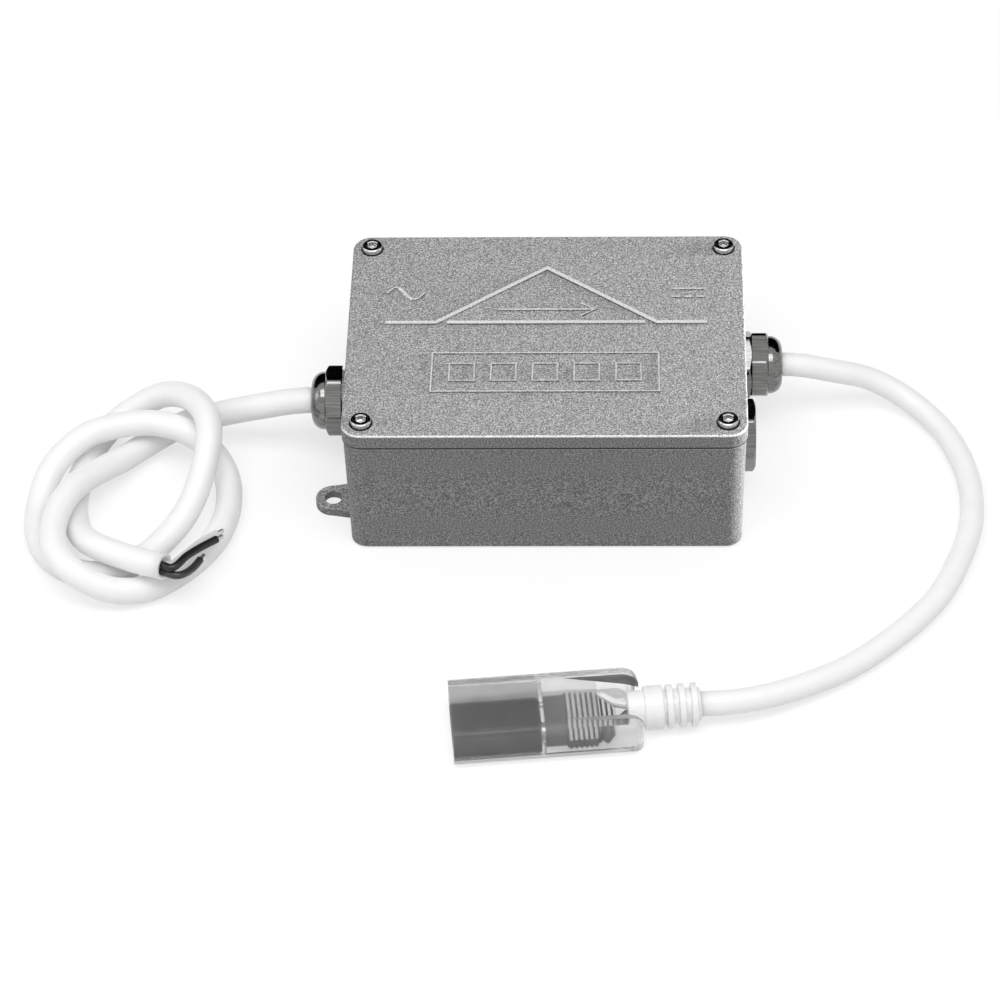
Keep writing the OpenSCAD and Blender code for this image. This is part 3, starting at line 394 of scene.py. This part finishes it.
bead = add(tree, "GeometryNodeCurvePrimitiveCircle", {"Resolution": 12}, {"Radius": half_width.outputs[0]})
cast = add(tree, "GeometryNodeCurveToMesh", {"Fill Caps": True},
           {"Curve": inputs.outputs["Geometry"], "Profile Curve": bead.outputs[0]})
close_tree(tree, cast.outputs[0], lit_casting)
sign_mesh = grow("lid_signs", sign_base, tree, {"Line width": 0.0009})
sign_mesh.materials.append(worn_and_lit_casting)
sign_mesh.materials.append(shaded_casting)
# Bead tops and lit sides: wear and a painted highlight; far sides: painted shade.
for face in sign_mesh.polygons:
    towards = face.normal.dot(painted_light_side)
    face.material_index = 1 if towards > -0.35 else 2 if towards < -0.5 else 0
put("lid_signs", sign_mesh, "cast_aluminium")


# Lid screws: four stainless socket cap screws, turned, their heads standing half proud of the lid.
# The rounded rim of a head and the drilled cone in its socket catch the light; its flat top stays dark.
def turned_stainless():
    """Turned stainless steel: a grey mirror, softened by rings too fine to show, drawn as 0.3 mm grain."""
    material, tree, shader, place = new_finish("turned_stainless_steel")
    grain = add(tree, "ShaderNodeTexNoise", {"Scale": 1 / 0.0003, "Detail": 2.0},
                {"Vector": place}).outputs["Fac"]
    tone = shade(tree, grain, [(0.3, "#b4b4b4"), (0.7, "#cccccc")])
    tree.links.new(tone, shader.inputs["Base Color"])
    rough = add(tree, "ShaderNodeMapRange", {"To Min": 0.1, "To Max": 0.22}, {"Value": grain})
    tree.links.new(rough.outputs["Result"], shader.inputs["Roughness"])
    shader.inputs["Metallic"].default_value = 1.0
    return material


def cap_screw(head_r, head_h, shank_r, shank_l, rim, socket_af, socket_depth, sides=48):
    """A socket cap screw along Z with its head's underside at the origin."""
    lead_in, chamfer, cone_tip, cone = 0.0004, 0.0001, 0.0001, 0.0007
    form = bmesh.new()

    def ring(radius, z, hexagon=0.0):
        points = []
        for k in range(sides):
            turn = math.tau * k / sides
            off_flat = (turn + math.pi / 6) % (math.pi / 3) - math.pi / 6
            r = hexagon / 2 / math.cos(off_flat) if hexagon else radius
            points.append(form.verts.new((r * math.cos(turn), r * math.sin(turn), z)))
        return points

    rings = [ring(shank_r - lead_in, -shank_l), ring(shank_r, lead_in - shank_l), ring(shank_r, 0),
             ring(head_r, 0)]
    for k in range(5):
        turn = math.pi / 2 * k / 4
        rings.append(ring(head_r - rim + rim * math.cos(turn), head_h - rim + rim * math.sin(turn)))
    rings += [ring(0, head_h, socket_af + 2 * chamfer), ring(0, head_h - chamfer, socket_af),
              ring(0, head_h - socket_depth, socket_af), ring(cone_tip, head_h - socket_depth - cone)]
    for a, b in zip(rings, rings[1:]):
        for k in range(sides):
            form.faces.new((a[k], a[(k + 1) % sides], b[(k + 1) % sides], b[k]))
    form.faces.new(list(reversed(rings[0])))
    form.faces.new(rings[-1])
    return form


stainless = turned_stainless()
screw_form = cap_screw(head_r=0.00275, head_h=0.003, shank_r=0.0015, shank_l=0.014, rim=0.0005,
                       socket_af=0.0025, socket_depth=0.0014)
screw = bpy.data.objects.new("one_screw", finish_mesh("one_screw", screw_form, stainless))
bpy.context.collection.objects.link(screw)
screw_base = bpy.data.objects.new("lid_screws_base", bpy.data.meshes.new("lid_screws_base"))
bpy.context.collection.objects.link(screw_base)
tree, inputs = new_tree("screw_corners", [("Across", "Float"), ("Along", "Float"), ("Level", "Float")])
corners = add(tree, "GeometryNodeMeshGrid", {"Vertices X": 2, "Vertices Y": 2},
              {"Size X": inputs.outputs["Across"], "Size Y": inputs.outputs["Along"]})
lift = add(tree, "ShaderNodeCombineXYZ", {}, {"Z": inputs.outputs["Level"]})
raised = add(tree, "GeometryNodeTransform", {},
             {"Geometry": corners.outputs["Mesh"], "Translation": lift.outputs[0]})
shape = add(tree, "GeometryNodeObjectInfo", {"Object": screw})
stand = add(tree, "GeometryNodeInstanceOnPoints", {},
            {"Points": raised.outputs[0], "Instance": shape.outputs["Geometry"]})
close_tree(tree, stand.outputs[0], stainless)
screws = grow("lid_screws_finish", screw_base, tree, {"Across": 0.0956, "Along": 0.0696, "Level": 0.04})
bpy.data.objects.remove(screw)
put("lid_screws_finish", screws, "stainless_steel", "lid_screws")


# Mains cord: a round three-core lead in soft white PVC, loosely knotted as it comes from the bag,
# clamped by its gland and cut off square at its far end.
def in_metres(points):
    return [Vector(p) / 1000 for p in points]


def smooth_route(points, radius, steps=6):
    """Points along a smooth curve through the route, kept on or over the floor."""
    route = []
    for i in range(len(points) - 1):
        a, b = points[i], points[i + 1]
        before = points[i - 1] if i else a * 2 - b
        after = points[i + 2] if i + 2 < len(points) else b * 2 - a
        for k in range(steps):
            t = k / steps
            route.append(0.5 * (2 * a + (b - before) * t + (2 * before - 5 * a + 4 * b - after) * t ** 2
                                + (3 * a - before - 3 * b + after) * t ** 3))
    route.append(points[-1].copy())
    for p in route:
        p.z = max(p.z, radius)
    return route


def swept_tube(name, route, radius, sides, material, mouth=0.0):
    """A tube along a route, its rings turned as little as the route allows; a mouth hollows its far end."""
    form = bmesh.new()
    side = (route[1] - route[0]).orthogonal().normalized()
    stations = [(p, radius, (route[min(i + 1, len(route) - 1)] - route[max(i - 1, 0)]).normalized())
                for i, p in enumerate(route)]
    if mouth:
        end, _, ahead = stations[-1]
        stations += [(end, radius * 0.76, ahead), (end - ahead * mouth, radius * 0.7, ahead)]
    rings = []
    for p, r, ahead in stations:
        side = (side - ahead * side.dot(ahead)).normalized()
        up = ahead.cross(side)
        turns = [math.tau * k / sides for k in range(sides)]
        rings.append([form.verts.new(p + r * (math.cos(t) * side + math.sin(t) * up)) for t in turns])
    for a, b in zip(rings, rings[1:]):
        for k in range(sides):
            form.faces.new((a[k], a[(k + 1) % sides], b[(k + 1) % sides], b[k]))
    form.faces.new(list(reversed(rings[0])))
    form.faces.new(rings[-1])
    return finish_mesh(name, form, material, sharp=50)


def white_jacket():
    """Soft white PVC, extruded: satin and slightly uneven over lengths of a centimetre."""
    material, tree, shader, place = new_finish("white_pvc_jacket")
    uneven = add(tree, "ShaderNodeTexNoise", {"Scale": 1 / 0.009, "Detail": 3.0},
                 {"Vector": place}).outputs["Fac"]
    tone = shade(tree, uneven, [(0.3, "#f4f4f4"), (0.7, "#fafafa")])
    tree.links.new(tone, shader.inputs["Base Color"])
    bump = add(tree, "ShaderNodeBump", {"Strength": 0.15, "Distance": 0.0001}, {"Height": uneven})
    tree.links.new(bump.outputs["Normal"], shader.inputs["Normal"])
    shader.inputs["Roughness"].default_value = 0.4
    shader.inputs["Subsurface Weight"].default_value = 0.8
    shader.inputs["Subsurface Radius"].default_value = (1, 1, 1)
    shader.inputs["Subsurface Scale"].default_value = 0.004
    return material


jacket = white_jacket()
ac_radius = 0.00355
ac_points = in_metres([
    (-44, 0, 17.5), (-56, 0, 17.5), (-67, 0, 17.5), (-78, 1, 14.5), (-89, 3, 10), (-99, 3, 6.5),
    (-108, -2, 4.5), (-115, -10, 5.5), (-121, -19, 9), (-126.5, -28.5, 12), (-130, -39, 12),
    (-129.5, -50, 11.5), (-124, -58, 10.5), (-114.5, -60.5, 6), (-104, -57.5, 3.6), (-94.5, -49.5, 3.6),
    (-88, -39, 3.6), (-85.5, -27, 3.6), (-87, -16, 6), (-94, -8, 10.5), (-104, -4, 12.5), (-115, -4, 12.5),
    (-125.5, -8.5, 12), (-133.5, -17, 8.5), (-136.5, -28.5, 4), (-135, -40, 3.6), (-129, -49, 3.6),
    (-119.5, -52.5, 3.6), (-110, -49, 3.6), (-102, -41, 4.5), (-95.5, -32, 8), (-91.5, -21, 14),
    (-91, -10, 18.5), (-96, 1, 17), (-105, 8.5, 12), (-115, 8, 6), (-122, 0.5, 3.6), (-125.5, -11, 3.6),
    (-127, -23, 3.6), (-125.5, -35, 4.8), (-120.5, -47.3, 10.4), (-110.5, -53.5, 11.2), (-99.5, -58.8, 12.6),
])
ac_route = smooth_route(ac_points, ac_radius)
ac_cord = put("mains_cord", swept_tube("mains_cord", ac_route, ac_radius, 24, jacket, mouth=0.0012),
              "white_jacket", "ac_cord")


# Cores of the mains cord: three stranded leads in thin PVC that fan out of the cut jacket, each bared
# over two millimetres to its tinned strands.
strands = moulded("tinned_copper_strands", "#b9b7b2", "#dddbd6", 0.0003, 0.3, metallic=1.0)
cut_end, core_radius, core_offset, strand_radius, bared = ac_points[-1], 0.00105, 0.001302, 0.00065, 0.002
cut_dir = (ac_points[-1] - ac_points[-2]).normalized()
cut_side = Vector((0, 0, 1)).cross(cut_dir).normalized()
cut_up = cut_dir.cross(cut_side)
for core, tones, turn, straight, points in (
    ("live", ("#2c2c2d", "#3c3c3d"), 232, 4.2,
     [(-92.8, -57.4, 10.2), (-89.9, -51.3, 9.4)]),
    ("neutral", ("#0c0c0c", "#151515"), 112, 3.2,
     [(-93.8, -56, 13.8), (-90.8, -51.9, 12.7), (-85.3, -46.1, 11.3)]),
    ("earth", ("#cfcfcf", "#dedede"), 352, 1.3,
     [(-96.2, -55.6, 11.9), (-91.2, -48, 10.7), (-85.5, -42.4, 9.8)]),
):
    around = math.cos(math.radians(turn)) * cut_side + math.sin(math.radians(turn)) * cut_up
    start = cut_end + core_offset * around
    leaving = [start - 0.001 * cut_dir, start + 0.001 * straight * cut_dir]
    route = smooth_route(leaving + in_metres(points), 0, steps=8)
    tip = route[-1] + (route[-2] - route[-1]).normalized() * bared
    skin = [p for p in route if (p - route[-1]).length > bared * 1.05] + [tip]
    insulation = moulded("core_insulation_" + core, *tones, 0.0008, 0.35)
    put("core_" + core, swept_tube("core_" + core, skin, core_radius, 16, insulation),
                           "core_" + core, "ac_core_" + core)
    bare = [tip + (tip - route[-1]) * 0.3, tip, route[-1]]
    bare_tube = swept_tube("core_strands_" + core, bare, strand_radius, 12, strands)
    put("core_strands_" + core, bare_tube, "tinned_clip")


# Output cord: a slightly thinner round lead in the same white PVC,
# clamped by its gland and lying in one open bow to the plug.
dc_radius = 0.0032
dc_points = in_metres([
    (44, 14, 17.5), (56, 14, 17.5), (67, 14, 17.5), (77, 15, 14.5), (88, 17, 9.5), (98, 14, 5),
    (106, 5.5, 3.2), (111, -6, 3.2), (113.5, -19, 3.2), (113, -33, 3.2), (109, -47, 3.2), (102.5, -61, 3.2),
    (92, -74, 3.2), (78, -86.5, 3.4), (62, -96, 4.8), (50, -100.4, 5.75), (40, -101.4, 5.75),
])
dc_route = smooth_route(dc_points, dc_radius)
dc_cord = put("output_cord", swept_tube("output_cord", dc_route, dc_radius, 24, jacket),
              "white_jacket", "dc_cord")


# Boot and strain relief: soft milky PVC moulded round the output cord,
# with three ribs.
def milky_pvc():
    """Soft unpigmented PVC: white and cloudy over 4 mm, letting some light through."""
    material, tree, shader, place = new_finish("milky_soft_pvc")
    cloud = add(tree, "ShaderNodeTexNoise", {"Scale": 1 / 0.004, "Detail": 3.0},
                {"Vector": place}).outputs["Fac"]
    tone = shade(tree, cloud, [(0.3, "#f0f0f0"), (0.7, "#fafafa")])
    tree.links.new(tone, shader.inputs["Base Color"])
    rough = add(tree, "ShaderNodeMapRange", {"To Min": 0.22, "To Max": 0.34}, {"Value": cloud})
    tree.links.new(rough.outputs["Result"], shader.inputs["Roughness"])
    shader.inputs["Subsurface Weight"].default_value = 0.4
    shader.inputs["Subsurface Radius"].default_value = (1, 1, 1)
    shader.inputs["Subsurface Scale"].default_value = 0.002
    return material


milky = milky_pvc()
plug_end = dc_points[-1]
plug_turn = math.atan2(-1, -10)
plug_place = Matrix.Translation(plug_end) @ Matrix.Rotation(plug_turn, 4, "Z")
boot = bmesh.new()
boot_sides = 48
boot_outline = [(0, 3.2), (0, 4.2), (0.2, 4.4), (9.3, 4.4), (9.4, 5.3), (9.8, 5.7), (13.9, 5.7),
                (14.3, 5.5), (14.4, 5.1), (14.4, 4.6), (18.1, 4.6), (18.5, 4.4), (18.7, 4), (18.7, 0.02)]
boot_rings = []
for x, r in boot_outline:
    turns = [math.tau * k / boot_sides for k in range(boot_sides)]
    boot_rings.append([boot.verts.new(plug_place @ (Vector((x, r * math.cos(t), r * math.sin(t))) / 1000))
                       for t in turns])
for a, b in zip(boot_rings, boot_rings[1:]):
    for k in range(boot_sides):
        boot.faces.new((a[k], a[(k + 1) % boot_sides], b[(k + 1) % boot_sides], b[k]))
boot.faces.new(list(reversed(boot_rings[0])))
boot.faces.new(boot_rings[-1])
bmesh.ops.recalc_face_normals(boot, faces=boot.faces)
relief = put("strain_relief", finish_mesh("strain_relief", boot, milky), "milky_boot", "dc_strain_relief")
rib_base = bpy.data.objects.new("relief_ribs_base", bpy.data.meshes.new("relief_ribs_base"))
bpy.context.collection.objects.link(rib_base)
tree, inputs = new_tree("relief_ribs", [("Ribs", "Int"), ("Pitch", "Float"), ("Rib radius", "Float"),
                                        ("Rib width", "Float"), ("Rib depth", "Float")])
hoop = add(tree, "GeometryNodeCurvePrimitiveCircle", {"Resolution": 48},
           {"Radius": inputs.outputs["Rib radius"]})
section = add(tree, "GeometryNodeCurvePrimitiveQuadrilateral", {},
              {"Width": inputs.outputs["Rib depth"], "Height": inputs.outputs["Rib width"]})
soft = add(tree, "GeometryNodeFilletCurve", {"mode": "POLY", "Radius": 0.0003, "Count": 3},
           {"Curve": section.outputs[0]})
rib = add(tree, "GeometryNodeCurveToMesh", {}, {"Curve": hoop.outputs[0], "Profile Curve": soft.outputs[0]})
step = add(tree, "ShaderNodeCombineXYZ", {}, {"Z": inputs.outputs["Pitch"]})
row = add(tree, "GeometryNodeMeshLine", {}, {"Count": inputs.outputs["Ribs"], "Offset": step.outputs[0]})
ribs = add(tree, "GeometryNodeInstanceOnPoints", {}, {"Points": row.outputs[0], "Instance": rib.outputs[0]})
close_tree(tree, ribs.outputs[0], milky)
first_rib = 0.00157
rib_mesh = grow("relief_ribs", rib_base, tree, {"Ribs": 3, "Pitch": 0.00313, "Rib radius": 0.00495,
                                                "Rib width": 0.00157, "Rib depth": 0.0015})
rib_mesh.transform(plug_place @ Matrix.Translation((first_rib, 0, 0)) @ Matrix.Rotation(math.pi / 2, 4, "Y"))
relief_ribs = put("relief_ribs", rib_mesh, "milky_boot")


# Output plug: a hollow moulding in clear PVC that takes the strip's end, scooped out behind its socket
# between two walls with rounded ends, the far one with a thin cheek. Two contact sleeves sit in a grey
# ribbed carrier, and the two leads show through it.
def clear_pvc(name, tones, roughness, clarity):
    """Clear rigid PVC: glassy, with soft flow marks from the mould; darker tones with less clarity carry
    painted shade, and lighter ones painted light, where they are laid on."""
    material, tree, shader, place = new_finish(name)
    flow = add(tree, "ShaderNodeTexNoise", {"Scale": 1 / 0.006, "Detail": 2.0},
               {"Vector": place}).outputs["Fac"]
    tone = shade(tree, flow, [(0.3, tones[0]), (0.7, tones[1])])
    tree.links.new(tone, shader.inputs["Base Color"])
    rough = add(tree, "ShaderNodeMapRange", {"To Min": roughness - 0.04, "To Max": roughness + 0.04},
                {"Value": flow})
    tree.links.new(rough.outputs["Result"], shader.inputs["Roughness"])
    shader.inputs["Transmission Weight"].default_value = clarity
    shader.inputs["IOR"].default_value = 1.25
    return material


to_plug = plug_place.inverted()
shell_form = joined_copy("plug_shell")
beside_scoop = 0.0073
break_edges(shell_form, 0.0006, steps=3,
            wanted=lambda edge: any(abs((to_plug @ v.co).y) > beside_scoop for v in edge.verts))
shell_back, end_round, end_drop, end_cuts, wall_from = 15.0, 5.0, 0.8, 10, 6.9
cheek_outline, cheek_sides = ((0.1, 1.15), (11, 3.75), (0.1, 3.75)), (-7.3, -7.0)
wall_side, scoop_side = ([shell_form.verts.new(plug_place @ (Vector((shell_back + x, y, z)) / 1000))
                          for x, z in cheek_outline] for y in cheek_sides)
cheek = [shell_form.faces.new(wall_side), shell_form.faces.new(scoop_side)]
cheek += [shell_form.faces.new((wall_side[k], wall_side[k - 1], scoop_side[k - 1], scoop_side[k]))
          for k in range(3)]
bmesh.ops.recalc_face_normals(shell_form, faces=cheek)
for k in range(end_cuts):
    cut_at = plug_place @ Vector(((shell_back + end_round * (k + 0.5) / end_cuts) / 1000, 0, 0))
    bmesh.ops.bisect_plane(shell_form, geom=shell_form.verts[:] + shell_form.edges[:] + shell_form.faces[:],
                           plane_co=cut_at, plane_no=plug_place.to_3x3() @ Vector((1, 0, 0)))
for vert in shell_form.verts:
    p = (to_plug @ vert.co) * 1000
    along = min(1.0, 1 - (p.x - shell_back) / end_round)
    if along > 0 and abs(p.y) > wall_from and p.z > 0:
        p.z *= 1 - end_drop * (1 - math.sqrt(1 - along ** 2))
        vert.co = plug_place @ (p / 1000)
clear = clear_pvc("clear_rigid_pvc", ("#ececec", "#f6f6f6"), 0.2, 0.97)
shell_mesh = finish_mesh("plug_shell_finish", shell_form, clear)
shell_mesh.materials.append(clear_pvc("rigid_pvc_painted_socket_shade", ("#3e3e3e", "#484848"), 0.5, 0.2))
shell_mesh.materials.append(clear_pvc("rigid_pvc_painted_edge_light", ("#f0f0f0", "#fafafa"), 0.4, 0.35))
shell_mesh.materials.append(clear_pvc("rigid_pvc_painted_wall_shade", ("#b8b8b8", "#c6c6c6"), 0.45, 0.6))
shell_mesh.materials.append(clear_pvc("shaded_rigid_pvc", ("#646464", "#747474"), 0.35, 0.3))
# Socket floor, far socket wall and both scoop walls take darker tones: painted shade in these recesses. The
# lower long edges take a lighter, milky tone: painted light.
for face in shell_mesh.polygons:
    x, y, z = (to_plug @ face.center) * 1000
    in_socket = 41.1 < x < 63
    in_scoop = 14 < x < 36 and 0 < z < 5.7
    socket_floor = in_socket and abs(y) < 8.8 and -3.8 < z < -3
    under_edge = z < -2.4 and abs(y) > 8.9
    hazy_wall = in_socket and -8.9 < y < -8.6 or in_scoop and 6.8 < y < 7.2
    far_scoop_wall = in_scoop and -7.2 < y < -6.8
    places = (socket_floor, under_edge, hazy_wall, far_scoop_wall)
    face.material_index = places.index(True) + 1 if any(places) else 0

carrier_form = joined_copy("plug_carrier")
break_edges(carrier_form, 0.0001)
carrier_mesh = finish_mesh("plug_carrier_finish", carrier_form,
                           moulded("grey_carrier_plastic", "#646464", "#727272", 0.0006, 0.42))
carrier_mesh.materials.append(moulded("carrier_ribs_painted_light", "#bebebe", "#cecece", 0.0006, 0.3))
# The upper parts of the ribs take a lighter tone: painted light where they catch the light, over the grey
# carrier.
ribs_end, ribs_from = 34.4, -0.95
for face in carrier_mesh.polygons:
    x, _, z = (to_plug @ face.center) * 1000
    face.material_index = int(x < ribs_end and z > ribs_from)

plug_pieces = [
    relief, relief_ribs,
    put("plug_shell_finish", shell_mesh, "clear_shell", "plug_shell"),
    put("plug_carrier_finish", carrier_mesh, "grey_carrier", "plug_carrier"),
    recast("plug_contacts",
           moulded("tinned_brass_sleeves", "#b9b8b4", "#d2d1cd", 0.0004, 0.25, metallic=1.0),
           "contact_brass", edge=0.0001),
    recast("plug_wire_light", moulded("lead_insulation_light", "#f0f0f0", "#f8f8f8", 0.0008, 0.38),
           "lead_light"),
    recast("plug_wire_dark", moulded("lead_insulation_dark", "#5a5a5a", "#6a6a6a", 0.0008, 0.38),
           "lead_dark"),
]


# Studio: white paper under a broad overhead softbox, a weak fill at the left, a strip light at the right
# for the metal box alone, and a dark flag behind it, which the plated parts and the screws mirror.
def seen_share(tree):
    """One for the eye, for mirrors and for glass, and nought for light that bounces on."""
    path = add(tree, "ShaderNodeLightPath")
    first = add(tree, "ShaderNodeMath", {"operation": "MAXIMUM"},
                {0: path.outputs["Is Camera Ray"], 1: path.outputs["Is Glossy Ray"]})
    return add(tree, "ShaderNodeMath", {"operation": "MAXIMUM"},
               {0: first.outputs[0], 1: path.outputs["Is Transmission Ray"]}).outputs[0]


world = bpy.data.worlds.new("studio")
bpy.context.scene.world = world
world.use_nodes = True
tree = world.node_tree
tree.nodes.clear()
strength = add(tree, "ShaderNodeMapRange", {"To Min": 0.55, "To Max": 1.0}, {"Value": seen_share(tree)})
sky = add(tree, "ShaderNodeBackground", {"Color": srgb("#ffffff")}, {"Strength": strength.outputs["Result"]})
add(tree, "ShaderNodeOutputWorld", {}, {"Surface": sky.outputs["Background"]})


def stage_sheet(name, corners):
    mesh = bpy.data.meshes.new(name)
    mesh.from_pydata(corners, [], [(0, 1, 2, 3)])
    mesh.materials.append(bpy.data.materials.new(name))
    mesh.materials[0].use_nodes = True
    mesh.materials[0].node_tree.nodes.clear()
    sheet = bpy.data.objects.new(name, mesh)
    bpy.context.collection.objects.link(sheet)
    return sheet


floor = stage_sheet("white_paper", [(-3, -3, 0), (3, -3, 0), (3, 3, 0), (-3, 3, 0)])
tree = floor.data.materials[0].node_tree
seen = seen_share(tree)
tone = add(tree, "ShaderNodeMix", {"data_type": "RGBA", 6: srgb("#e0e0e0"), 7: srgb("#ffffff")}, {0: seen})
paper = add(tree, "ShaderNodeBsdfDiffuse", {}, {"Color": tone.outputs[2]})
glow = add(tree, "ShaderNodeEmission", {"Color": srgb("#ffffff"), "Strength": 1.05})
share = add(tree, "ShaderNodeMath", {"operation": "MULTIPLY", 1: 0.6}, {0: seen})
mixed = add(tree, "ShaderNodeMixShader", {}, {0: share.outputs[0], 1: paper.outputs[0], 2: glow.outputs[0]})
add(tree, "ShaderNodeOutputMaterial", {}, {"Surface": mixed.outputs[0]})

flag = stage_sheet("dark_flag", [(-1.5, 0.8, 0.0), (1.5, 0.8, 0.0), (1.5, 0.5, 1.0), (-1.5, 0.5, 1.0)])
tree = flag.data.materials[0].node_tree
felt = add(tree, "ShaderNodeBsdfDiffuse", {"Color": srgb("#101010")})
add(tree, "ShaderNodeOutputMaterial", {}, {"Surface": felt.outputs[0]})
flag.visible_camera = False
flag.visible_diffuse = False
flag.visible_shadow = False
flag.visible_transmission = False


def lamp(name, place, target, size, watts):
    data = bpy.data.lights.new(name, "AREA")
    data.shape = "RECTANGLE"
    data.size, data.size_y = size
    data.energy = watts
    piece = bpy.data.objects.new(name, data)
    bpy.context.collection.objects.link(piece)
    piece.location = place
    piece.rotation_euler = (Vector(target) - Vector(place)).to_track_quat("-Z", "Y").to_euler()
    return piece


lamp("top_softbox", place=(0, -0.3, 0.95), target=(0, 0, 0), size=(1.0, 0.5), watts=5.3)
strip = lamp("right_strip", place=(0.5, 0.06, 0.07), target=(0.05, -0.03, 0.02), size=(0.08, 0.12), watts=7)
metal_box = bpy.data.collections.new("lit_by_the_strip")
for name in ("base_box_finish", "lid_finish"):
    metal_box.objects.link(bpy.data.objects[name])
strip.light_linking.receiver_collection = metal_box
lamp("left_fill", place=(-0.7, -0.1, 0.4), target=(-0.05, -0.03, 0.02), size=(0.3, 0.4), watts=0.5)

camera = bpy.data.cameras.new("camera")
camera.sensor_width = 36
camera.lens = 4.092 * camera.sensor_width
camera.clip_start = 0.05
view = bpy.data.objects.new("camera", camera)
bpy.context.collection.objects.link(view)
elevation, yaw, roll = math.radians(44), math.radians(2.51), math.radians(-1.83)
aim, distance = Vector((-0.01276, -0.02076, 0)), 1.10365
back = Vector((math.sin(yaw) * math.cos(elevation), -math.cos(yaw) * math.cos(elevation),
               math.sin(elevation)))
right = Vector((math.cos(yaw), math.sin(yaw), 0))
up = back.cross(right)
across = right * math.cos(roll) + up * math.sin(roll)
upward = up * math.cos(roll) - right * math.sin(roll)
view.matrix_world = (Matrix.Translation(aim + back * distance)
                     @ Matrix((across, upward, back)).transposed().to_4x4())
bpy.context.scene.camera = view

bpy.context.scene.view_settings.view_transform = "Standard"
bpy.context.view_layer.update()
